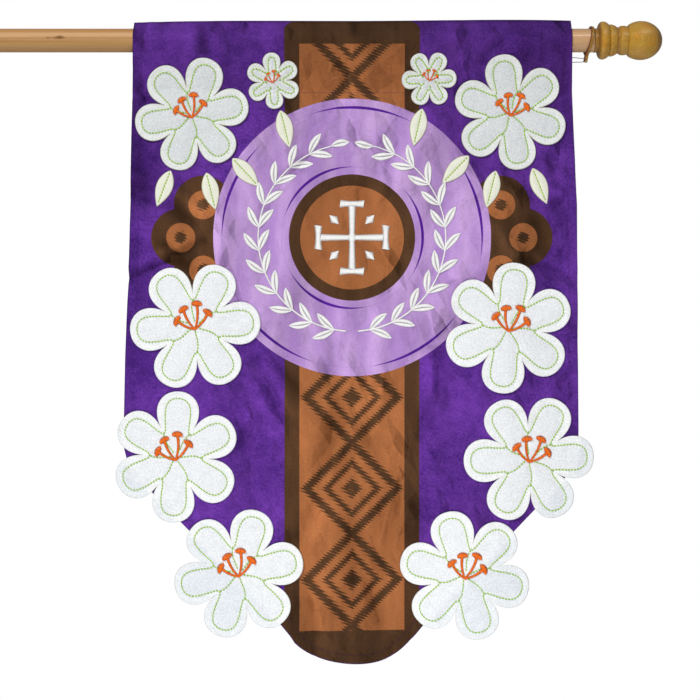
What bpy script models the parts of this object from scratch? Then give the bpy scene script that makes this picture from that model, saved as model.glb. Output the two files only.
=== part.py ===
"""Church banner with felt blossoms, hung by its sleeve from a turned wooden pole.

Metres, +Z up. The pole runs along +X from its butt end, whose face centre is the origin. The banner's front
faces -Y. Places on the banner are given from its own centre line, which stands at CENTRE_X on the pole.
"""

import math

import bmesh
import bpy
from mathutils import Matrix, Vector

# Pole
POLE_RADIUS = 0.0187
POLE_END_X = 1.110
POLE_SIDES = 40
BUTT_BEVEL = 0.0020

# Finial, turned in one piece: beads from the collar outwards, then a ball
FINIAL_STEPS = 28
SEAT_GAP = 0.0003
COLLAR_RADIUS = 0.0192
BEAD_STEPS = 5
BEAD_FULLNESS = 0.62
BEAD_LEAN = 0.62
BEAD_COLUMNS = ("start", "end", "first_root", "last_root", "crest")
BEADS = (
    (0.0062, 0.0243, 0.0190, 0.0236, 0.0306),
    (0.0243, 0.0375, 0.0234, 0.0206, 0.0247),
    (0.0405, 0.0540, 0.0212, 0.0220, 0.0234),
)
BALL_START = 0.0540
BALL_MIDDLE = 0.0752
BALL_END = 0.1088
BALL_RADIUS = 0.0308
BALL_ROOT = 0.0242
BALL_END_FLAT = 0.0070
BALL_STEPS = 10

# Banner cloth
CENTRE_X = 0.724
CLOTH_THICKNESS = 0.0015
EDGE_COLUMNS = ("left", "right", "z")
EDGE = (
    (-0.3482, 0.3498, 0.060),
    (-0.3484, 0.3500, -0.004),
    (-0.3512, 0.3521, -0.085),
    (-0.3530, 0.3547, -0.145),
    (-0.3546, 0.3578, -0.212),
    (-0.3548, 0.3604, -0.262),
    (-0.3570, 0.3612, -0.345),
    (-0.3604, 0.3616, -0.420),
    (-0.3640, 0.3624, -0.505),
    (-0.3668, 0.3634, -0.620),
    (-0.3660, 0.3632, -0.654),
    (-0.3580, 0.3550, -0.686),
    (-0.2555, 0.2545, -0.789),
    (-0.1509, 0.1531, -0.889),
    (-0.0969, 0.1000, -0.954),
)
FOOT_RADIUS = 0.1300
FOOT_STEPS = 14
FOOT_UNEVEN = 0.0020
FOOT_WAVES = 5.0
FOOT_DENT = math.radians(-12)

# Sleeve that the pole passes through
SLEEVE_GAP = 0.0005
SEAM_Z = -0.080
CREST_Z = 0.0305
CREST_SLOPE = 0.0040
CREST_SAG = 0.0015
CREST_SAG_POWER = 6
CREST_RIPPLE_RISE = 0.00055
CREST_RIPPLE_PER_METRE = 14.0
CREST_RIPPLE_PHASE = -1.93
CREST_RIPPLE_START = 0.0150
TUNNEL_START = 0.0035
TUNNEL_STOP = 0.0006
BLUNT = 0.0004
HANG_FREE_Z = -0.260

# Felt and satin appliques
FELT_THICKNESS = 0.0016
SATIN_THICKNESS = 0.0010
APPLIQUE_GAP = 0.0003
PETALS = 6
PETAL_VALLEY = 0.50
PETAL_POINT = 2.2
PETAL_SHOULDER = 0.55
PETAL_STEPS = 8
LEAF_LENGTH = 0.062
LEAF_HALF_WIDTH = 0.0135
LEAF_STEPS = 6
LEAF_LEAN = 0.85
LEAF_FULLNESS = 0.85
LEAF_CLEARANCE = 0.003

# Grid that the cloth and every applique share
COLUMN_STEP = 0.0230
COLUMN_COUNT = 36
ROW_STEP = 0.0290
LOWEST_ROW_Z = -1.0150
TAPER_ROWS = 3
ARC_ROWS = 6
CREST_ROWS = 2
CUTTER_DEPTH = 0.200
WELD_DISTANCE = 0.00001
MERGE_DISTANCE = 0.00005
SHARP_ANGLE = math.radians(35)
QUARTER_TURN = math.radians(90)

# Clip ring round the pole, its wire loop and the cloth tab in the sleeve that holds the wire
RING_X = 1.1030
RING_INNER = 0.0205
RING_WALL = 0.0030
RING_WIDTH = 0.0055
RING_BEVEL = 0.0008
RING_STEPS = 36
RING_TILT = math.radians(10)
RING_YAW = math.radians(6)
RING_DROP = 0.0006
LUG_WIDTH = 0.0060
LUG_DEPTH = 0.0040
LUG_TOP = 0.0215
LUG_END = 0.0350
LUG_BEVEL = 0.0012
HOLE_RADIUS = 0.0014
HOLE_CENTRE = 0.0312
HOLE_SIDES = 16
WIRE_RADIUS = 0.0006
TAB_HEIGHT = 0.0044
TAB_EYE_RADIUS = 0.0013
TAB_WALL = 0.0010
TAB_STEPS = 8
TAB_END_X = -0.0720
TAB_END_Y = 0.0104

# Soft ridges (rise above 0) and troughs (rise below 0) of the hanging cloth
FOLD_COLUMNS = ("x1", "z1", "x2", "z2", "width", "rise")
FOLDS = (
    (-0.358, -0.386, -0.235, -0.324, 0.026, -0.0046),
    (-0.352, -0.340, -0.250, -0.285, 0.026, 0.0030),
    (0.160, -0.388, 0.345, -0.482, 0.026, -0.0044),
    (0.215, -0.360, 0.352, -0.425, 0.026, 0.0028),
    (-0.235, -0.085, -0.243, -0.190, 0.030, -0.0036),
    (0.300, -0.120, 0.330, -0.185, 0.028, 0.0034),
    (-0.108, -0.520, -0.140, -0.690, 0.028, -0.0046),
    (-0.062, -0.560, -0.085, -0.740, 0.027, 0.0032),
    (0.137, -0.500, 0.118, -0.690, 0.028, -0.0042),
    (0.010, -0.655, 0.072, -0.790, 0.028, 0.0034),
    (-0.055, -0.760, -0.068, -0.930, 0.028, -0.0038),
    (0.020, -0.880, 0.052, -0.985, 0.028, 0.0032),
    (-0.060, -0.420, 0.070, -0.470, 0.032, -0.0026),
)

# Long flutes in which the cloth hangs
FLUTE_COLUMNS = ("length", "phase", "drift", "depth")
FLUTES = (
    (0.410, 0.6, 1.9, 0.0068),
    (0.235, 2.1, -2.6, 0.0036),
)
EDGE_CURL = 0.0060
CURL_HALF_WIDTH = 0.3500
FLUTE_SHARE_AT_SEAM = 0.12

# Felt blossoms: place, reach of a petal's tip, and turn in degrees
BLOSSOM_COLUMNS = ("name", "x", "z", "radius", "turn")
BLOSSOMS = (
    ("blossom_left_corner", -0.256, -0.119, 0.092, 11),
    ("blossom_left_bud", -0.126, -0.066, 0.044, 34),
    ("blossom_left_upper", -0.251, -0.457, 0.105, 4),
    ("blossom_left_side", -0.282, -0.666, 0.105, 27),
    ("blossom_left_foot", -0.181, -0.852, 0.105, 13),
    ("blossom_right_corner", 0.253, -0.116, 0.092, 40),
    ("blossom_right_bud", 0.123, -0.063, 0.044, 2),
    ("blossom_right_upper", 0.250, -0.460, 0.105, 23),
    ("blossom_right_side", 0.283, -0.669, 0.105, 2),
    ("blossom_right_foot", 0.180, -0.855, 0.105, 46),
)

# Satin leaves, each pointing away from a blossom in the direction given in degrees
LEAF_COLUMNS = ("name", "blossom", "direction")
LEAVES = (
    ("leaf_left_inner", "blossom_left_corner", 313),
    ("leaf_left_middle", "blossom_left_corner", 284),
    ("leaf_left_outer", "blossom_left_corner", 249),
    ("leaf_left_bud", "blossom_left_bud", 284),
    ("leaf_right_inner", "blossom_right_corner", 226),
    ("leaf_right_middle", "blossom_right_corner", 256),
    ("leaf_right_outer", "blossom_right_corner", 292),
    ("leaf_right_bud", "blossom_right_bud", 257),
)

# The wire loop's route, from the lug's hole along the pole to the tab and back
WIRE_COLUMNS = ("x", "y", "z")
WIRE = (
    (0.0000, -0.0018, 0.0000),
    (-0.0012, -0.0034, 0.0006),
    (-0.0040, -0.0036, 0.0018),
    (-0.0200, -0.0026, 0.0036),
    (-0.0340, -0.0010, 0.0050),
    (-0.0420, -0.0002, 0.0044),
    (-0.0448, 0.0000, 0.0028),
    (-0.0450, 0.0000, 0.0000),
    (-0.0448, 0.0000, -0.0028),
    (-0.0420, 0.0002, -0.0046),
    (-0.0300, 0.0014, -0.0046),
    (-0.0150, 0.0026, -0.0026),
    (-0.0040, 0.0036, -0.0028),
    (-0.0012, 0.0034, -0.0010),
    (0.0000, 0.0018, 0.0000),
)


def clear_scene():
    for obj in list(bpy.data.objects):
        bpy.data.objects.remove(obj)


def collection(name):
    made = bpy.data.collections.new(name)
    bpy.context.scene.collection.children.link(made)
    return made


def material(name, colour, roughness, metallic=0.0):
    made = bpy.data.materials.new(name)
    made.use_nodes = True
    shader = made.node_tree.nodes["Principled BSDF"]
    shader.inputs["Base Color"].default_value = (*colour, 1.0)
    shader.inputs["Roughness"].default_value = roughness
    shader.inputs["Metallic"].default_value = metallic
    made.diffuse_color = (*colour, 1.0)
    return made


def rows_of(columns, table):
    return [dict(zip(columns, row)) for row in table]


def smooth_step(value):
    share = max(0.0, min(1.0, value))
    return share * share * (3.0 - 2.0 * share)


def place(name, mesh, into, finish=None):
    made = bpy.data.objects.new(name, mesh)
    into.objects.link(made)
    if finish:
        mesh.materials.clear()
        mesh.materials.append(finish)
    return made


def keep_as_cutter(obj):
    obj.hide_render = True
    obj.display_type = "WIRE"
    return obj


def boolean(obj, cutter, operation):
    cut = obj.modifiers.new(cutter.name, "BOOLEAN")
    cut.object = cutter
    cut.operation = operation
    cut.solver = "EXACT"


def shade_round(mesh):
    mesh.shade_smooth()
    mesh.set_sharp_from_angle(angle=SHARP_ANGLE)


def fold_rise(fold, x, z):
    """Height of one fold at a point: a soft crest along its line, fading past both ends."""
    start = Vector((fold["x1"], fold["z1"]))
    line = Vector((fold["x2"], fold["z2"])) - start
    point = Vector((x, z)) - start
    share = max(0.0, min(1.0, point.dot(line) / line.length_squared))
    away = (point - share * line).length
    return fold["rise"] * math.exp(-((away / fold["width"]) ** 2))


def drape(x, z):
    """How far the middle of the cloth stands behind the pole's axis."""
    hang = smooth_step((SEAM_Z - z) / (SEAM_Z - LOWEST_ROW_Z))
    share = FLUTE_SHARE_AT_SEAM + (1.0 - FLUTE_SHARE_AT_SEAM) * hang
    depth = EDGE_CURL * share * (x / CURL_HALF_WIDTH) ** 4
    for flute in rows_of(FLUTE_COLUMNS, FLUTES):
        angle = math.tau * x / flute["length"] + flute["phase"] + flute["drift"] * z
        depth += flute["depth"] * share * math.cos(angle)
    depth -= sum(fold_rise(fold, x, z) for fold in rows_of(FOLD_COLUMNS, FOLDS))
    return depth * smooth_step(z / HANG_FREE_Z)


def tunnel_angles():
    """Where the sleeve leaves the pole's round, below and above, as angles from the pole's side."""
    radius = POLE_RADIUS + SLEEVE_GAP
    return math.asin(radius / -SEAM_Z), math.asin(radius / CREST_Z)


def tunnel_half_depth(z):
    """Half the room in the sleeve: straight up from the seam, round the pole, straight up to the crest."""
    radius = POLE_RADIUS + SLEEVE_GAP
    low, high = tunnel_angles()
    if z < -radius * math.sin(low):
        return (z - SEAM_Z) * math.tan(low)
    if z < radius * math.sin(high):
        return math.sqrt(radius * radius - z * z)
    return (CREST_Z - z) * math.tan(high)


def half_depth(z):
    """Half the banner's depth: one layer below the seam, two layers and the pole's room above it."""
    if z <= SEAM_Z:
        return CLOTH_THICKNESS / 2
    layers = CLOTH_THICKNESS * smooth_step(0.5 + (z - SEAM_Z) / (2 * TUNNEL_START))
    return max(BLUNT, tunnel_half_depth(z) + layers)


def crest_lift(x, z):
    """The sleeve's top edge climbs a little towards the finial, ripples and sags at both ends."""
    ripple = CREST_RIPPLE_RISE * math.sin(CREST_RIPPLE_PER_METRE * x + CREST_RIPPLE_PHASE)
    sag = CREST_SAG * (x / CURL_HALF_WIDTH) ** CREST_SAG_POWER
    share = smooth_step((z - CREST_RIPPLE_START) / (CREST_Z - CREST_RIPPLE_START))
    return (CREST_SLOPE * x + ripple - sag) * share


def column_places():
    first = -COLUMN_STEP * (COLUMN_COUNT - 1) / 2
    return [first + COLUMN_STEP * n for n in range(COLUMN_COUNT)]


def sheet_rows():
    """Heights of the grid's rows from under the foot up to the seam."""
    count = round((SEAM_Z - LOWEST_ROW_Z) / ROW_STEP)
    return [LOWEST_ROW_Z + (SEAM_Z - LOWEST_ROW_Z) * n / count for n in range(count + 1)]


def tunnel_rows():
    """Heights of the grid's rows in the sleeve, from just above the seam to just under the crest."""
    radius = POLE_RADIUS + SLEEVE_GAP
    low, high = tunnel_angles()
    first = SEAM_Z + TUNNEL_START
    touch = -radius * math.sin(low)
    rows = [first + (touch - first) * n / TAPER_ROWS for n in range(TAPER_ROWS)]
    rows += [radius * math.sin(-low + (low + high) * n / ARC_ROWS) for n in range(ARC_ROWS + 1)]
    last = CREST_Z - TUNNEL_STOP
    leave = rows[-1]
    rows += [leave + (last - leave) * n / CREST_ROWS for n in range(1, CREST_ROWS + 1)]
    return rows


def banner_rows():
    high = tunnel_angles()[1]
    top = CREST_Z + (CLOTH_THICKNESS - BLUNT) / math.tan(high)
    return sheet_rows() + tunnel_rows() + [top]


def slab(name, rows, front, back, into, finish=None):
    """A closed slab on the shared grid, between two depths that are functions of x and z."""
    columns = column_places()
    grid = bmesh.new()
    column_of = grid.verts.layers.int.new("column")
    row_of = grid.verts.layers.int.new("row")
    across, up = len(columns) - 1, len(rows) - 1
    bmesh.ops.create_grid(grid, x_segments=across, y_segments=up, size=0.5)
    for vert in grid.verts:
        vert[column_of] = round((vert.co.x + 0.5) * across)
        vert[row_of] = round((vert.co.y + 0.5) * up)
    bmesh.ops.triangulate(grid, faces=grid.faces[:], quad_method="FIXED")
    made = bmesh.ops.extrude_face_region(grid, geom=grid.faces[:], use_keep_orig=True)
    behind = {item for item in made["geom"] if isinstance(item, bmesh.types.BMVert)}
    for vert in grid.verts:
        x, z = columns[vert[column_of]], rows[vert[row_of]]
        depth = back(x, z) if vert in behind else front(x, z)
        vert.co = (CENTRE_X + x, depth, z + crest_lift(x, z))
    bmesh.ops.triangulate(grid, faces=[f for f in grid.faces if len(f.verts) > 3])
    bmesh.ops.recalc_face_normals(grid, faces=grid.faces[:])
    mesh = bpy.data.meshes.new(name)
    grid.to_mesh(mesh)
    grid.free()
    return place(name, mesh, into, finish)


def flat_solid(name, outlines, thickness, into, upright=True):
    """An extruded flat outline, welded into a closed mesh. Upright, its second axis is the height."""
    shape = bpy.data.curves.new(name, "CURVE")
    shape.dimensions = "2D"
    shape.fill_mode = "BOTH"
    shape.extrude = thickness / 2
    for points in outlines:
        line = shape.splines.new("POLY")
        line.points.add(len(points) - 1)
        for point, spot in zip(line.points, points):
            point.co = (*spot, 0.0, 1.0)
        line.use_cyclic_u = True
    drawn = place(name, shape, into)
    if upright:
        drawn.rotation_euler.x = QUARTER_TURN
    bpy.context.view_layer.update()
    solid = bpy.data.meshes.new_from_object(drawn.evaluated_get(bpy.context.evaluated_depsgraph_get()))
    stand = drawn.matrix_world.copy()
    bpy.data.objects.remove(drawn)
    weld = bmesh.new()
    weld.from_mesh(solid)
    bmesh.ops.remove_doubles(weld, verts=weld.verts, dist=WELD_DISTANCE)
    bmesh.ops.recalc_face_normals(weld, faces=weld.faces[:])
    weld.to_mesh(solid)
    weld.free()
    made = place(name, solid, into)
    made.matrix_world = stand
    return made


def banner_outline():
    """The banner's edge, down the right side, round the foot and up the left side."""
    side = rows_of(EDGE_COLUMNS, EDGE)
    right = [(edge["right"], edge["z"]) for edge in side]
    left = [(edge["left"], edge["z"]) for edge in side]
    last = side[-1]
    centre_x = (last["left"] + last["right"]) / 2
    half_angle = math.asin((last["right"] - last["left"]) / 2 / FOOT_RADIUS)
    centre_z = last["z"] + FOOT_RADIUS * math.cos(half_angle)
    foot = []
    for n in range(1, FOOT_STEPS):
        angle = half_angle * (1.0 - 2.0 * n / FOOT_STEPS)
        reach = FOOT_RADIUS - FOOT_UNEVEN * math.cos(FOOT_WAVES * (angle - FOOT_DENT))
        foot.append((centre_x + reach * math.sin(angle), centre_z - reach * math.cos(angle)))
    return [(CENTRE_X + x, z) for x, z in right + foot + left[::-1]]


def petal_reach(share):
    """Reach of a petal as a share of its tip's, from its middle line at 0 to the valleys at -1 and 1."""
    return PETAL_VALLEY + (1.0 - PETAL_VALLEY) * (1.0 - abs(share) ** PETAL_POINT) ** PETAL_SHOULDER


def blossom_outline(blossom):
    points = []
    for n in range(PETALS * PETAL_STEPS):
        petal, step = divmod(n, PETAL_STEPS)
        share = math.sin(math.pi * (step / PETAL_STEPS - 0.5))
        reach = blossom["radius"] * petal_reach(share)
        angle = share * math.pi / PETALS
        turn = angle + petal * math.tau / PETALS + math.radians(blossom["turn"])
        points.append((
            CENTRE_X + blossom["x"] + reach * math.cos(turn),
            blossom["z"] + reach * math.sin(turn),
        ))
    return points


def leaf_outline(leaf):
    blossom = next(b for b in rows_of(BLOSSOM_COLUMNS, BLOSSOMS) if b["name"] == leaf["blossom"])
    direction = math.radians(leaf["direction"])
    along = Vector((math.cos(direction), math.sin(direction)))
    across = Vector((-along.y, along.x))
    base = Vector((CENTRE_X + blossom["x"], blossom["z"])) + along * (blossom["radius"] + LEAF_CLEARANCE)
    points = []
    for n in range(2 * LEAF_STEPS):
        share = n / LEAF_STEPS if n < LEAF_STEPS else 2.0 - n / LEAF_STEPS
        side = -1.0 if n < LEAF_STEPS else 1.0
        width = LEAF_HALF_WIDTH * math.sin(math.pi * share ** LEAF_LEAN) ** LEAF_FULLNESS
        points.append(tuple(base + along * LEAF_LENGTH * share + across * side * width))
    return points


def banner_cloth(into, cutters, finish):
    """One sheet with its hems and the sleeve in which the pole lies."""
    cloth = slab(
        "banner_cloth",
        banner_rows(),
        lambda x, z: drape(x, z) - half_depth(z),
        lambda x, z: drape(x, z) + half_depth(z),
        into,
        finish,
    )
    edge = keep_as_cutter(flat_solid("cut_banner_edge", [banner_outline()], CUTTER_DEPTH, cutters))
    tunnel = keep_as_cutter(slab(
        "cut_sleeve",
        tunnel_rows(),
        lambda x, z: drape(x, z) - tunnel_half_depth(z),
        lambda x, z: drape(x, z) + tunnel_half_depth(z),
        cutters,
    ))
    boolean(cloth, edge, "INTERSECT")
    boolean(cloth, tunnel, "DIFFERENCE")


def applique(name, outline, thickness, into, cutters, finish):
    """A flat piece sewn to the banner's front, following its folds, also where it passes the edge."""
    piece = slab(
        name,
        banner_rows(),
        lambda x, z: drape(x, z) - half_depth(z) - APPLIQUE_GAP - thickness,
        lambda x, z: drape(x, z) - half_depth(z) - APPLIQUE_GAP,
        into,
        finish,
    )
    cutter = keep_as_cutter(flat_solid("cut_" + name, [outline], CUTTER_DEPTH, cutters))
    boolean(piece, cutter, "INTERSECT")


def appliques(into, cutters, felt, satin):
    for blossom in rows_of(BLOSSOM_COLUMNS, BLOSSOMS):
        applique(blossom["name"], blossom_outline(blossom), FELT_THICKNESS, into, cutters, felt)
    for leaf in rows_of(LEAF_COLUMNS, LEAVES):
        applique(leaf["name"], leaf_outline(leaf), SATIN_THICKNESS, into, cutters, satin)


def pole(into, finish):
    rod = bmesh.new()
    bmesh.ops.create_cone(
        rod,
        cap_ends=True,
        segments=POLE_SIDES,
        radius1=POLE_RADIUS,
        radius2=POLE_RADIUS,
        depth=POLE_END_X,
    )
    mesh = bpy.data.meshes.new("pole")
    rod.to_mesh(mesh)
    rod.free()
    shade_round(mesh)
    made = place("pole", mesh, into, finish)
    made.location.x = POLE_END_X / 2
    made.rotation_euler.y = QUARTER_TURN
    butt = made.modifiers.new("butt", "BEVEL")
    butt.width = BUTT_BEVEL
    butt.segments = 2
    butt.limit_method = "ANGLE"


def finial_profile():
    """Radius along the finial, from the axis at the collar's face to the axis at the ball's end."""
    points = [(0.0, 0.0), (COLLAR_RADIUS, 0.0)]
    for bead in rows_of(BEAD_COLUMNS, BEADS):
        for n in range(BEAD_STEPS + 1):
            share = n / BEAD_STEPS
            swell = math.sin(math.pi * share ** BEAD_LEAN) ** BEAD_FULLNESS if 0 < n < BEAD_STEPS else 0.0
            root = bead["first_root"] + (bead["last_root"] - bead["first_root"]) * share
            middle_root = (bead["first_root"] + bead["last_root"]) / 2
            radius = root + (bead["crest"] - middle_root) * swell
            height = bead["start"] + (bead["end"] - bead["start"]) * share
            if height > points[-1][1]:
                points.append((radius, height))
    first = math.asin(BALL_ROOT / BALL_RADIUS) - math.pi
    near = (BALL_MIDDLE - BALL_START) / -math.cos(first)
    last = -math.asin(BALL_END_FLAT / BALL_RADIUS)
    for n in range(1, BALL_STEPS + 1):
        angle = first + (last - first) * n / BALL_STEPS
        half = near if math.cos(angle) < 0 else (BALL_END - BALL_MIDDLE) / math.cos(last)
        points.append((-BALL_RADIUS * math.sin(angle), BALL_MIDDLE + half * math.cos(angle)))
    points.append((0.0, BALL_END))
    return points


def finial(into, finish):
    profile = bmesh.new()
    spots = [profile.verts.new((radius, 0.0, height)) for radius, height in reversed(finial_profile())]
    for one, other in zip(spots, spots[1:]):
        profile.edges.new((one, other))
    mesh = bpy.data.meshes.new("finial")
    profile.to_mesh(mesh)
    profile.free()
    made = place("finial", mesh, into, finish)
    made.location.x = POLE_END_X + SEAT_GAP
    made.rotation_euler.y = QUARTER_TURN
    turn = made.modifiers.new("turned", "SCREW")
    turn.steps = FINIAL_STEPS
    turn.render_steps = FINIAL_STEPS
    turn.use_merge_vertices = True
    turn.merge_threshold = MERGE_DISTANCE
    turn.use_smooth_shade = True


def ring_frame():
    """The clip ring's place: its own +Z is its axis, its own +X points to the lug."""
    lean = Matrix.Rotation(RING_YAW, 4, "Z") @ Matrix.Rotation(RING_TILT, 4, "Y")
    down = Matrix.Rotation(QUARTER_TURN, 4, "Y")
    return Matrix.Translation((RING_X, 0.0, -RING_DROP)) @ lean @ down


def clip_ring(into, cutters, finish):
    section = bmesh.new()
    low, high = -RING_WIDTH / 2, RING_WIDTH / 2
    inner, outer = RING_INNER, RING_INNER + RING_WALL
    corners = (
        (outer - RING_BEVEL, high), (outer, high - RING_BEVEL),
        (outer, low + RING_BEVEL), (outer - RING_BEVEL, low),
        (inner + RING_BEVEL, low), (inner, low + RING_BEVEL),
        (inner, high - RING_BEVEL), (inner + RING_BEVEL, high),
    )
    spots = [section.verts.new((radius, 0.0, height)) for radius, height in corners]
    for one, other in zip(spots, spots[1:] + spots[:1]):
        section.edges.new((one, other))
    mesh = bpy.data.meshes.new("clip_ring")
    section.to_mesh(mesh)
    section.free()
    ring = place("clip_ring", mesh, into, finish)
    ring.matrix_world = ring_frame()
    turn = ring.modifiers.new("turned", "SCREW")
    turn.steps = RING_STEPS
    turn.render_steps = RING_STEPS
    turn.use_merge_vertices = True
    turn.merge_threshold = MERGE_DISTANCE
    turn.use_smooth_shade = True
    boolean(ring, clip_lug(cutters), "UNION")
    boolean(ring, lug_hole(cutters), "DIFFERENCE")


def clip_lug(cutters):
    block = bmesh.new()
    bmesh.ops.create_cube(block, size=1.0)
    size = (LUG_END - LUG_TOP, LUG_DEPTH, LUG_WIDTH)
    bmesh.ops.scale(block, vec=size, verts=block.verts)
    bmesh.ops.translate(block, vec=((LUG_END + LUG_TOP) / 2, 0.0, 0.0), verts=block.verts)
    ends = [e for e in block.edges if all(v.co.x > LUG_TOP + LUG_BEVEL for v in e.verts)]
    bmesh.ops.bevel(block, geom=ends, offset=LUG_BEVEL, segments=2, profile=0.5, affect="EDGES")
    mesh = bpy.data.meshes.new("cut_lug")
    block.to_mesh(mesh)
    block.free()
    lug = keep_as_cutter(place("cut_lug", mesh, cutters))
    lug.matrix_world = ring_frame()
    return lug


def lug_hole(cutters):
    drill = bmesh.new()
    bmesh.ops.create_cone(
        drill,
        cap_ends=True,
        segments=HOLE_SIDES,
        radius1=HOLE_RADIUS,
        radius2=HOLE_RADIUS,
        depth=LUG_DEPTH * 2,
    )
    mesh = bpy.data.meshes.new("cut_lug_hole")
    drill.to_mesh(mesh)
    drill.free()
    hole = keep_as_cutter(place("cut_lug_hole", mesh, cutters))
    across = Matrix.Rotation(QUARTER_TURN, 4, "X")
    hole.matrix_world = ring_frame() @ Matrix.Translation((HOLE_CENTRE, 0.0, 0.0)) @ across
    return hole


def clip_wire(into, finish):
    """A closed loop of wire through the lug's hole and the tab's eye."""
    line = bpy.data.curves.new("clip_wire", "CURVE")
    line.dimensions = "3D"
    line.bevel_depth = WIRE_RADIUS
    line.bevel_resolution = 2
    route = line.splines.new("POLY")
    points = rows_of(WIRE_COLUMNS, WIRE)
    route.points.add(len(points) - 1)
    for point, spot in zip(route.points, points):
        point.co = (spot["x"], spot["y"], spot["z"], 1.0)
    route.use_cyclic_u = True
    made = place("clip_wire", line, into)
    line.materials.append(finish)
    made.location = ring_frame() @ Vector((HOLE_CENTRE, 0.0, 0.0))


def leash_tab(into, finish):
    """A strip of webbing folded round the wire's end and sewn to the inside of the sleeve."""
    wire_end = min(spot["x"] for spot in rows_of(WIRE_COLUMNS, WIRE))
    stem = Vector((TAB_END_X - wire_end, TAB_END_Y))
    heading = math.atan2(stem.y, stem.x)
    outer_radius = TAB_EYE_RADIUS + TAB_WALL
    opening = math.asin(TAB_WALL / outer_radius)
    outer, inner = [], []
    for n in range(2 * TAB_STEPS + 1):
        angle = heading + opening + (math.tau - 2 * opening) * n / (2 * TAB_STEPS)
        outer.append((wire_end + outer_radius * math.cos(angle), outer_radius * math.sin(angle)))
    for n in range(2 * TAB_STEPS):
        angle = math.tau * n / (2 * TAB_STEPS)
        inner.append((wire_end + TAB_EYE_RADIUS * math.cos(angle), TAB_EYE_RADIUS * math.sin(angle)))
    side = Vector((-stem.y, stem.x)).normalized() * TAB_WALL
    outer.append((TAB_END_X - side.x, TAB_END_Y - side.y))
    outer.append((TAB_END_X + side.x, TAB_END_Y + side.y))
    made = flat_solid("leash_tab", [outer, inner], TAB_HEIGHT, into, upright=False)
    made.location = ring_frame() @ Vector((HOLE_CENTRE, 0.0, 0.0))
    made.data.materials.append(finish)


def build():
    clear_scene()
    parts = collection("church_banner_on_pole")
    cutters = collection("cutters")
    cloth = material("banner_cloth", (0.095, 0.026, 0.215), 0.55)
    felt = material("white_felt", (0.82, 0.83, 0.84), 0.95)
    satin = material("cream_satin", (0.70, 0.67, 0.58), 0.45)
    pole_wood = material("pole_wood", (0.47, 0.27, 0.11), 0.40)
    finial_wood = material("finial_wood", (0.44, 0.25, 0.045), 0.28)
    ring_plastic = material("ring_plastic", (0.30, 0.15, 0.03), 0.35)
    wire_steel = material("wire_steel", (0.55, 0.55, 0.55), 0.30, 1.0)
    webbing = material("tab_webbing", (0.060, 0.018, 0.140), 0.70)
    banner_cloth(parts, cutters, cloth)
    appliques(parts, cutters, felt, satin)
    pole(parts, pole_wood)
    finial(parts, finial_wood)
    clip_ring(parts, cutters, ring_plastic)
    clip_wire(parts, wire_steel)
    leash_tab(parts, webbing)


build()
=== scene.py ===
"""Finish of a church banner: print, felt, satin, stitching, turned wood and the studio.

Metres, +Z up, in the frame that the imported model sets. The pole runs along +X and the banner's front
faces -Y. Places on the banner are x from its own centre line, which stands at CENTRE_X on the pole, and
z from the pole's axis. The folds, the sleeve and the outlines repeat the formulas of the solids.
"""

import math

import bmesh
import bpy
import numpy as np
from mathutils import Matrix, Vector


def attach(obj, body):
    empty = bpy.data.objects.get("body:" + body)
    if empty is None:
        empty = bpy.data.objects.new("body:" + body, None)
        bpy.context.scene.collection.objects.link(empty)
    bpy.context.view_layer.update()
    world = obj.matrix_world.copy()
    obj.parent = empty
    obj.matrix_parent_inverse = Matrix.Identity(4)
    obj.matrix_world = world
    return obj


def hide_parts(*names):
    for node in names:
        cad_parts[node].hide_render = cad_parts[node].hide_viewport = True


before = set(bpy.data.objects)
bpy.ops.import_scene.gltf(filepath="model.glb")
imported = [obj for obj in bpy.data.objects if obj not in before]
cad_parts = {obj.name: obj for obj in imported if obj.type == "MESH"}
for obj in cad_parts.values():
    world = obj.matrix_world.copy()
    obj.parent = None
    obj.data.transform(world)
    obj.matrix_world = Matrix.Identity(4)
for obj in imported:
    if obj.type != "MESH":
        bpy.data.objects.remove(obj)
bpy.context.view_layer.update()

bl_info = {
    "name": "Church Banner Finish",
    "version": (1, 0, 0),
    "blender": (4, 5, 0),
    "location": "View3D > Sidebar > Banner",
    "description": "Printed cloth, felt blossoms, stitching, turned wood and a studio for a church banner",
    "category": "Object",
}

QUARTER_TURN = math.radians(90)
SMOOTH_ANGLE = math.radians(40)
BODY = "root"


def in_metres(*rows):
    """A table from rows that are written in millimetres."""
    return tuple(tuple(value / 1000 for value in row) for row in rows)


# Pole and finial
POLE_RADIUS = 0.0187
POLE_END_X = 1.110
BUTT_BEVEL = 0.0020
SEAT_GAP = 0.0003
COLLAR_RADIUS = 0.0192
BEAD_FULLNESS = 0.62
BEAD_LEAN = 0.62
BEAD_COLUMNS = ("start", "end", "first_root", "last_root", "crest")
BEADS = in_metres(
    (6.2, 24.3, 19, 23.6, 30.6),
    (24.3, 37.5, 23.4, 20.6, 24.7),
    (40.5, 54, 21.2, 22, 23.4),
)
BALL_START = 0.0540
BALL_MIDDLE = 0.0752
BALL_END = 0.1088
BALL_RADIUS = 0.0308
BALL_ROOT = 0.0242
BALL_END_FLAT = 0.0070

# Bands along the pole at fixed places round it, partly grain and partly painted light and shade, the pale
# band just above the axis a painted highlight: place round it, half width, strength and dye
POLE_GRAIN_AND_LIGHT_BANDS = (
    (0.78, 0.16, 0.55, (196, 134, 74)),
    (0.36, 0.30, 0.55, (226, 182, 136)),
    (-0.45, 0.30, 0.45, (192, 152, 90)),
    (-0.90, 0.30, 0.40, (206, 164, 112)),
    (1.90, 0.30, 0.45, (190, 134, 80)),
    (2.70, 0.25, 0.45, (222, 180, 134)),
)

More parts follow.
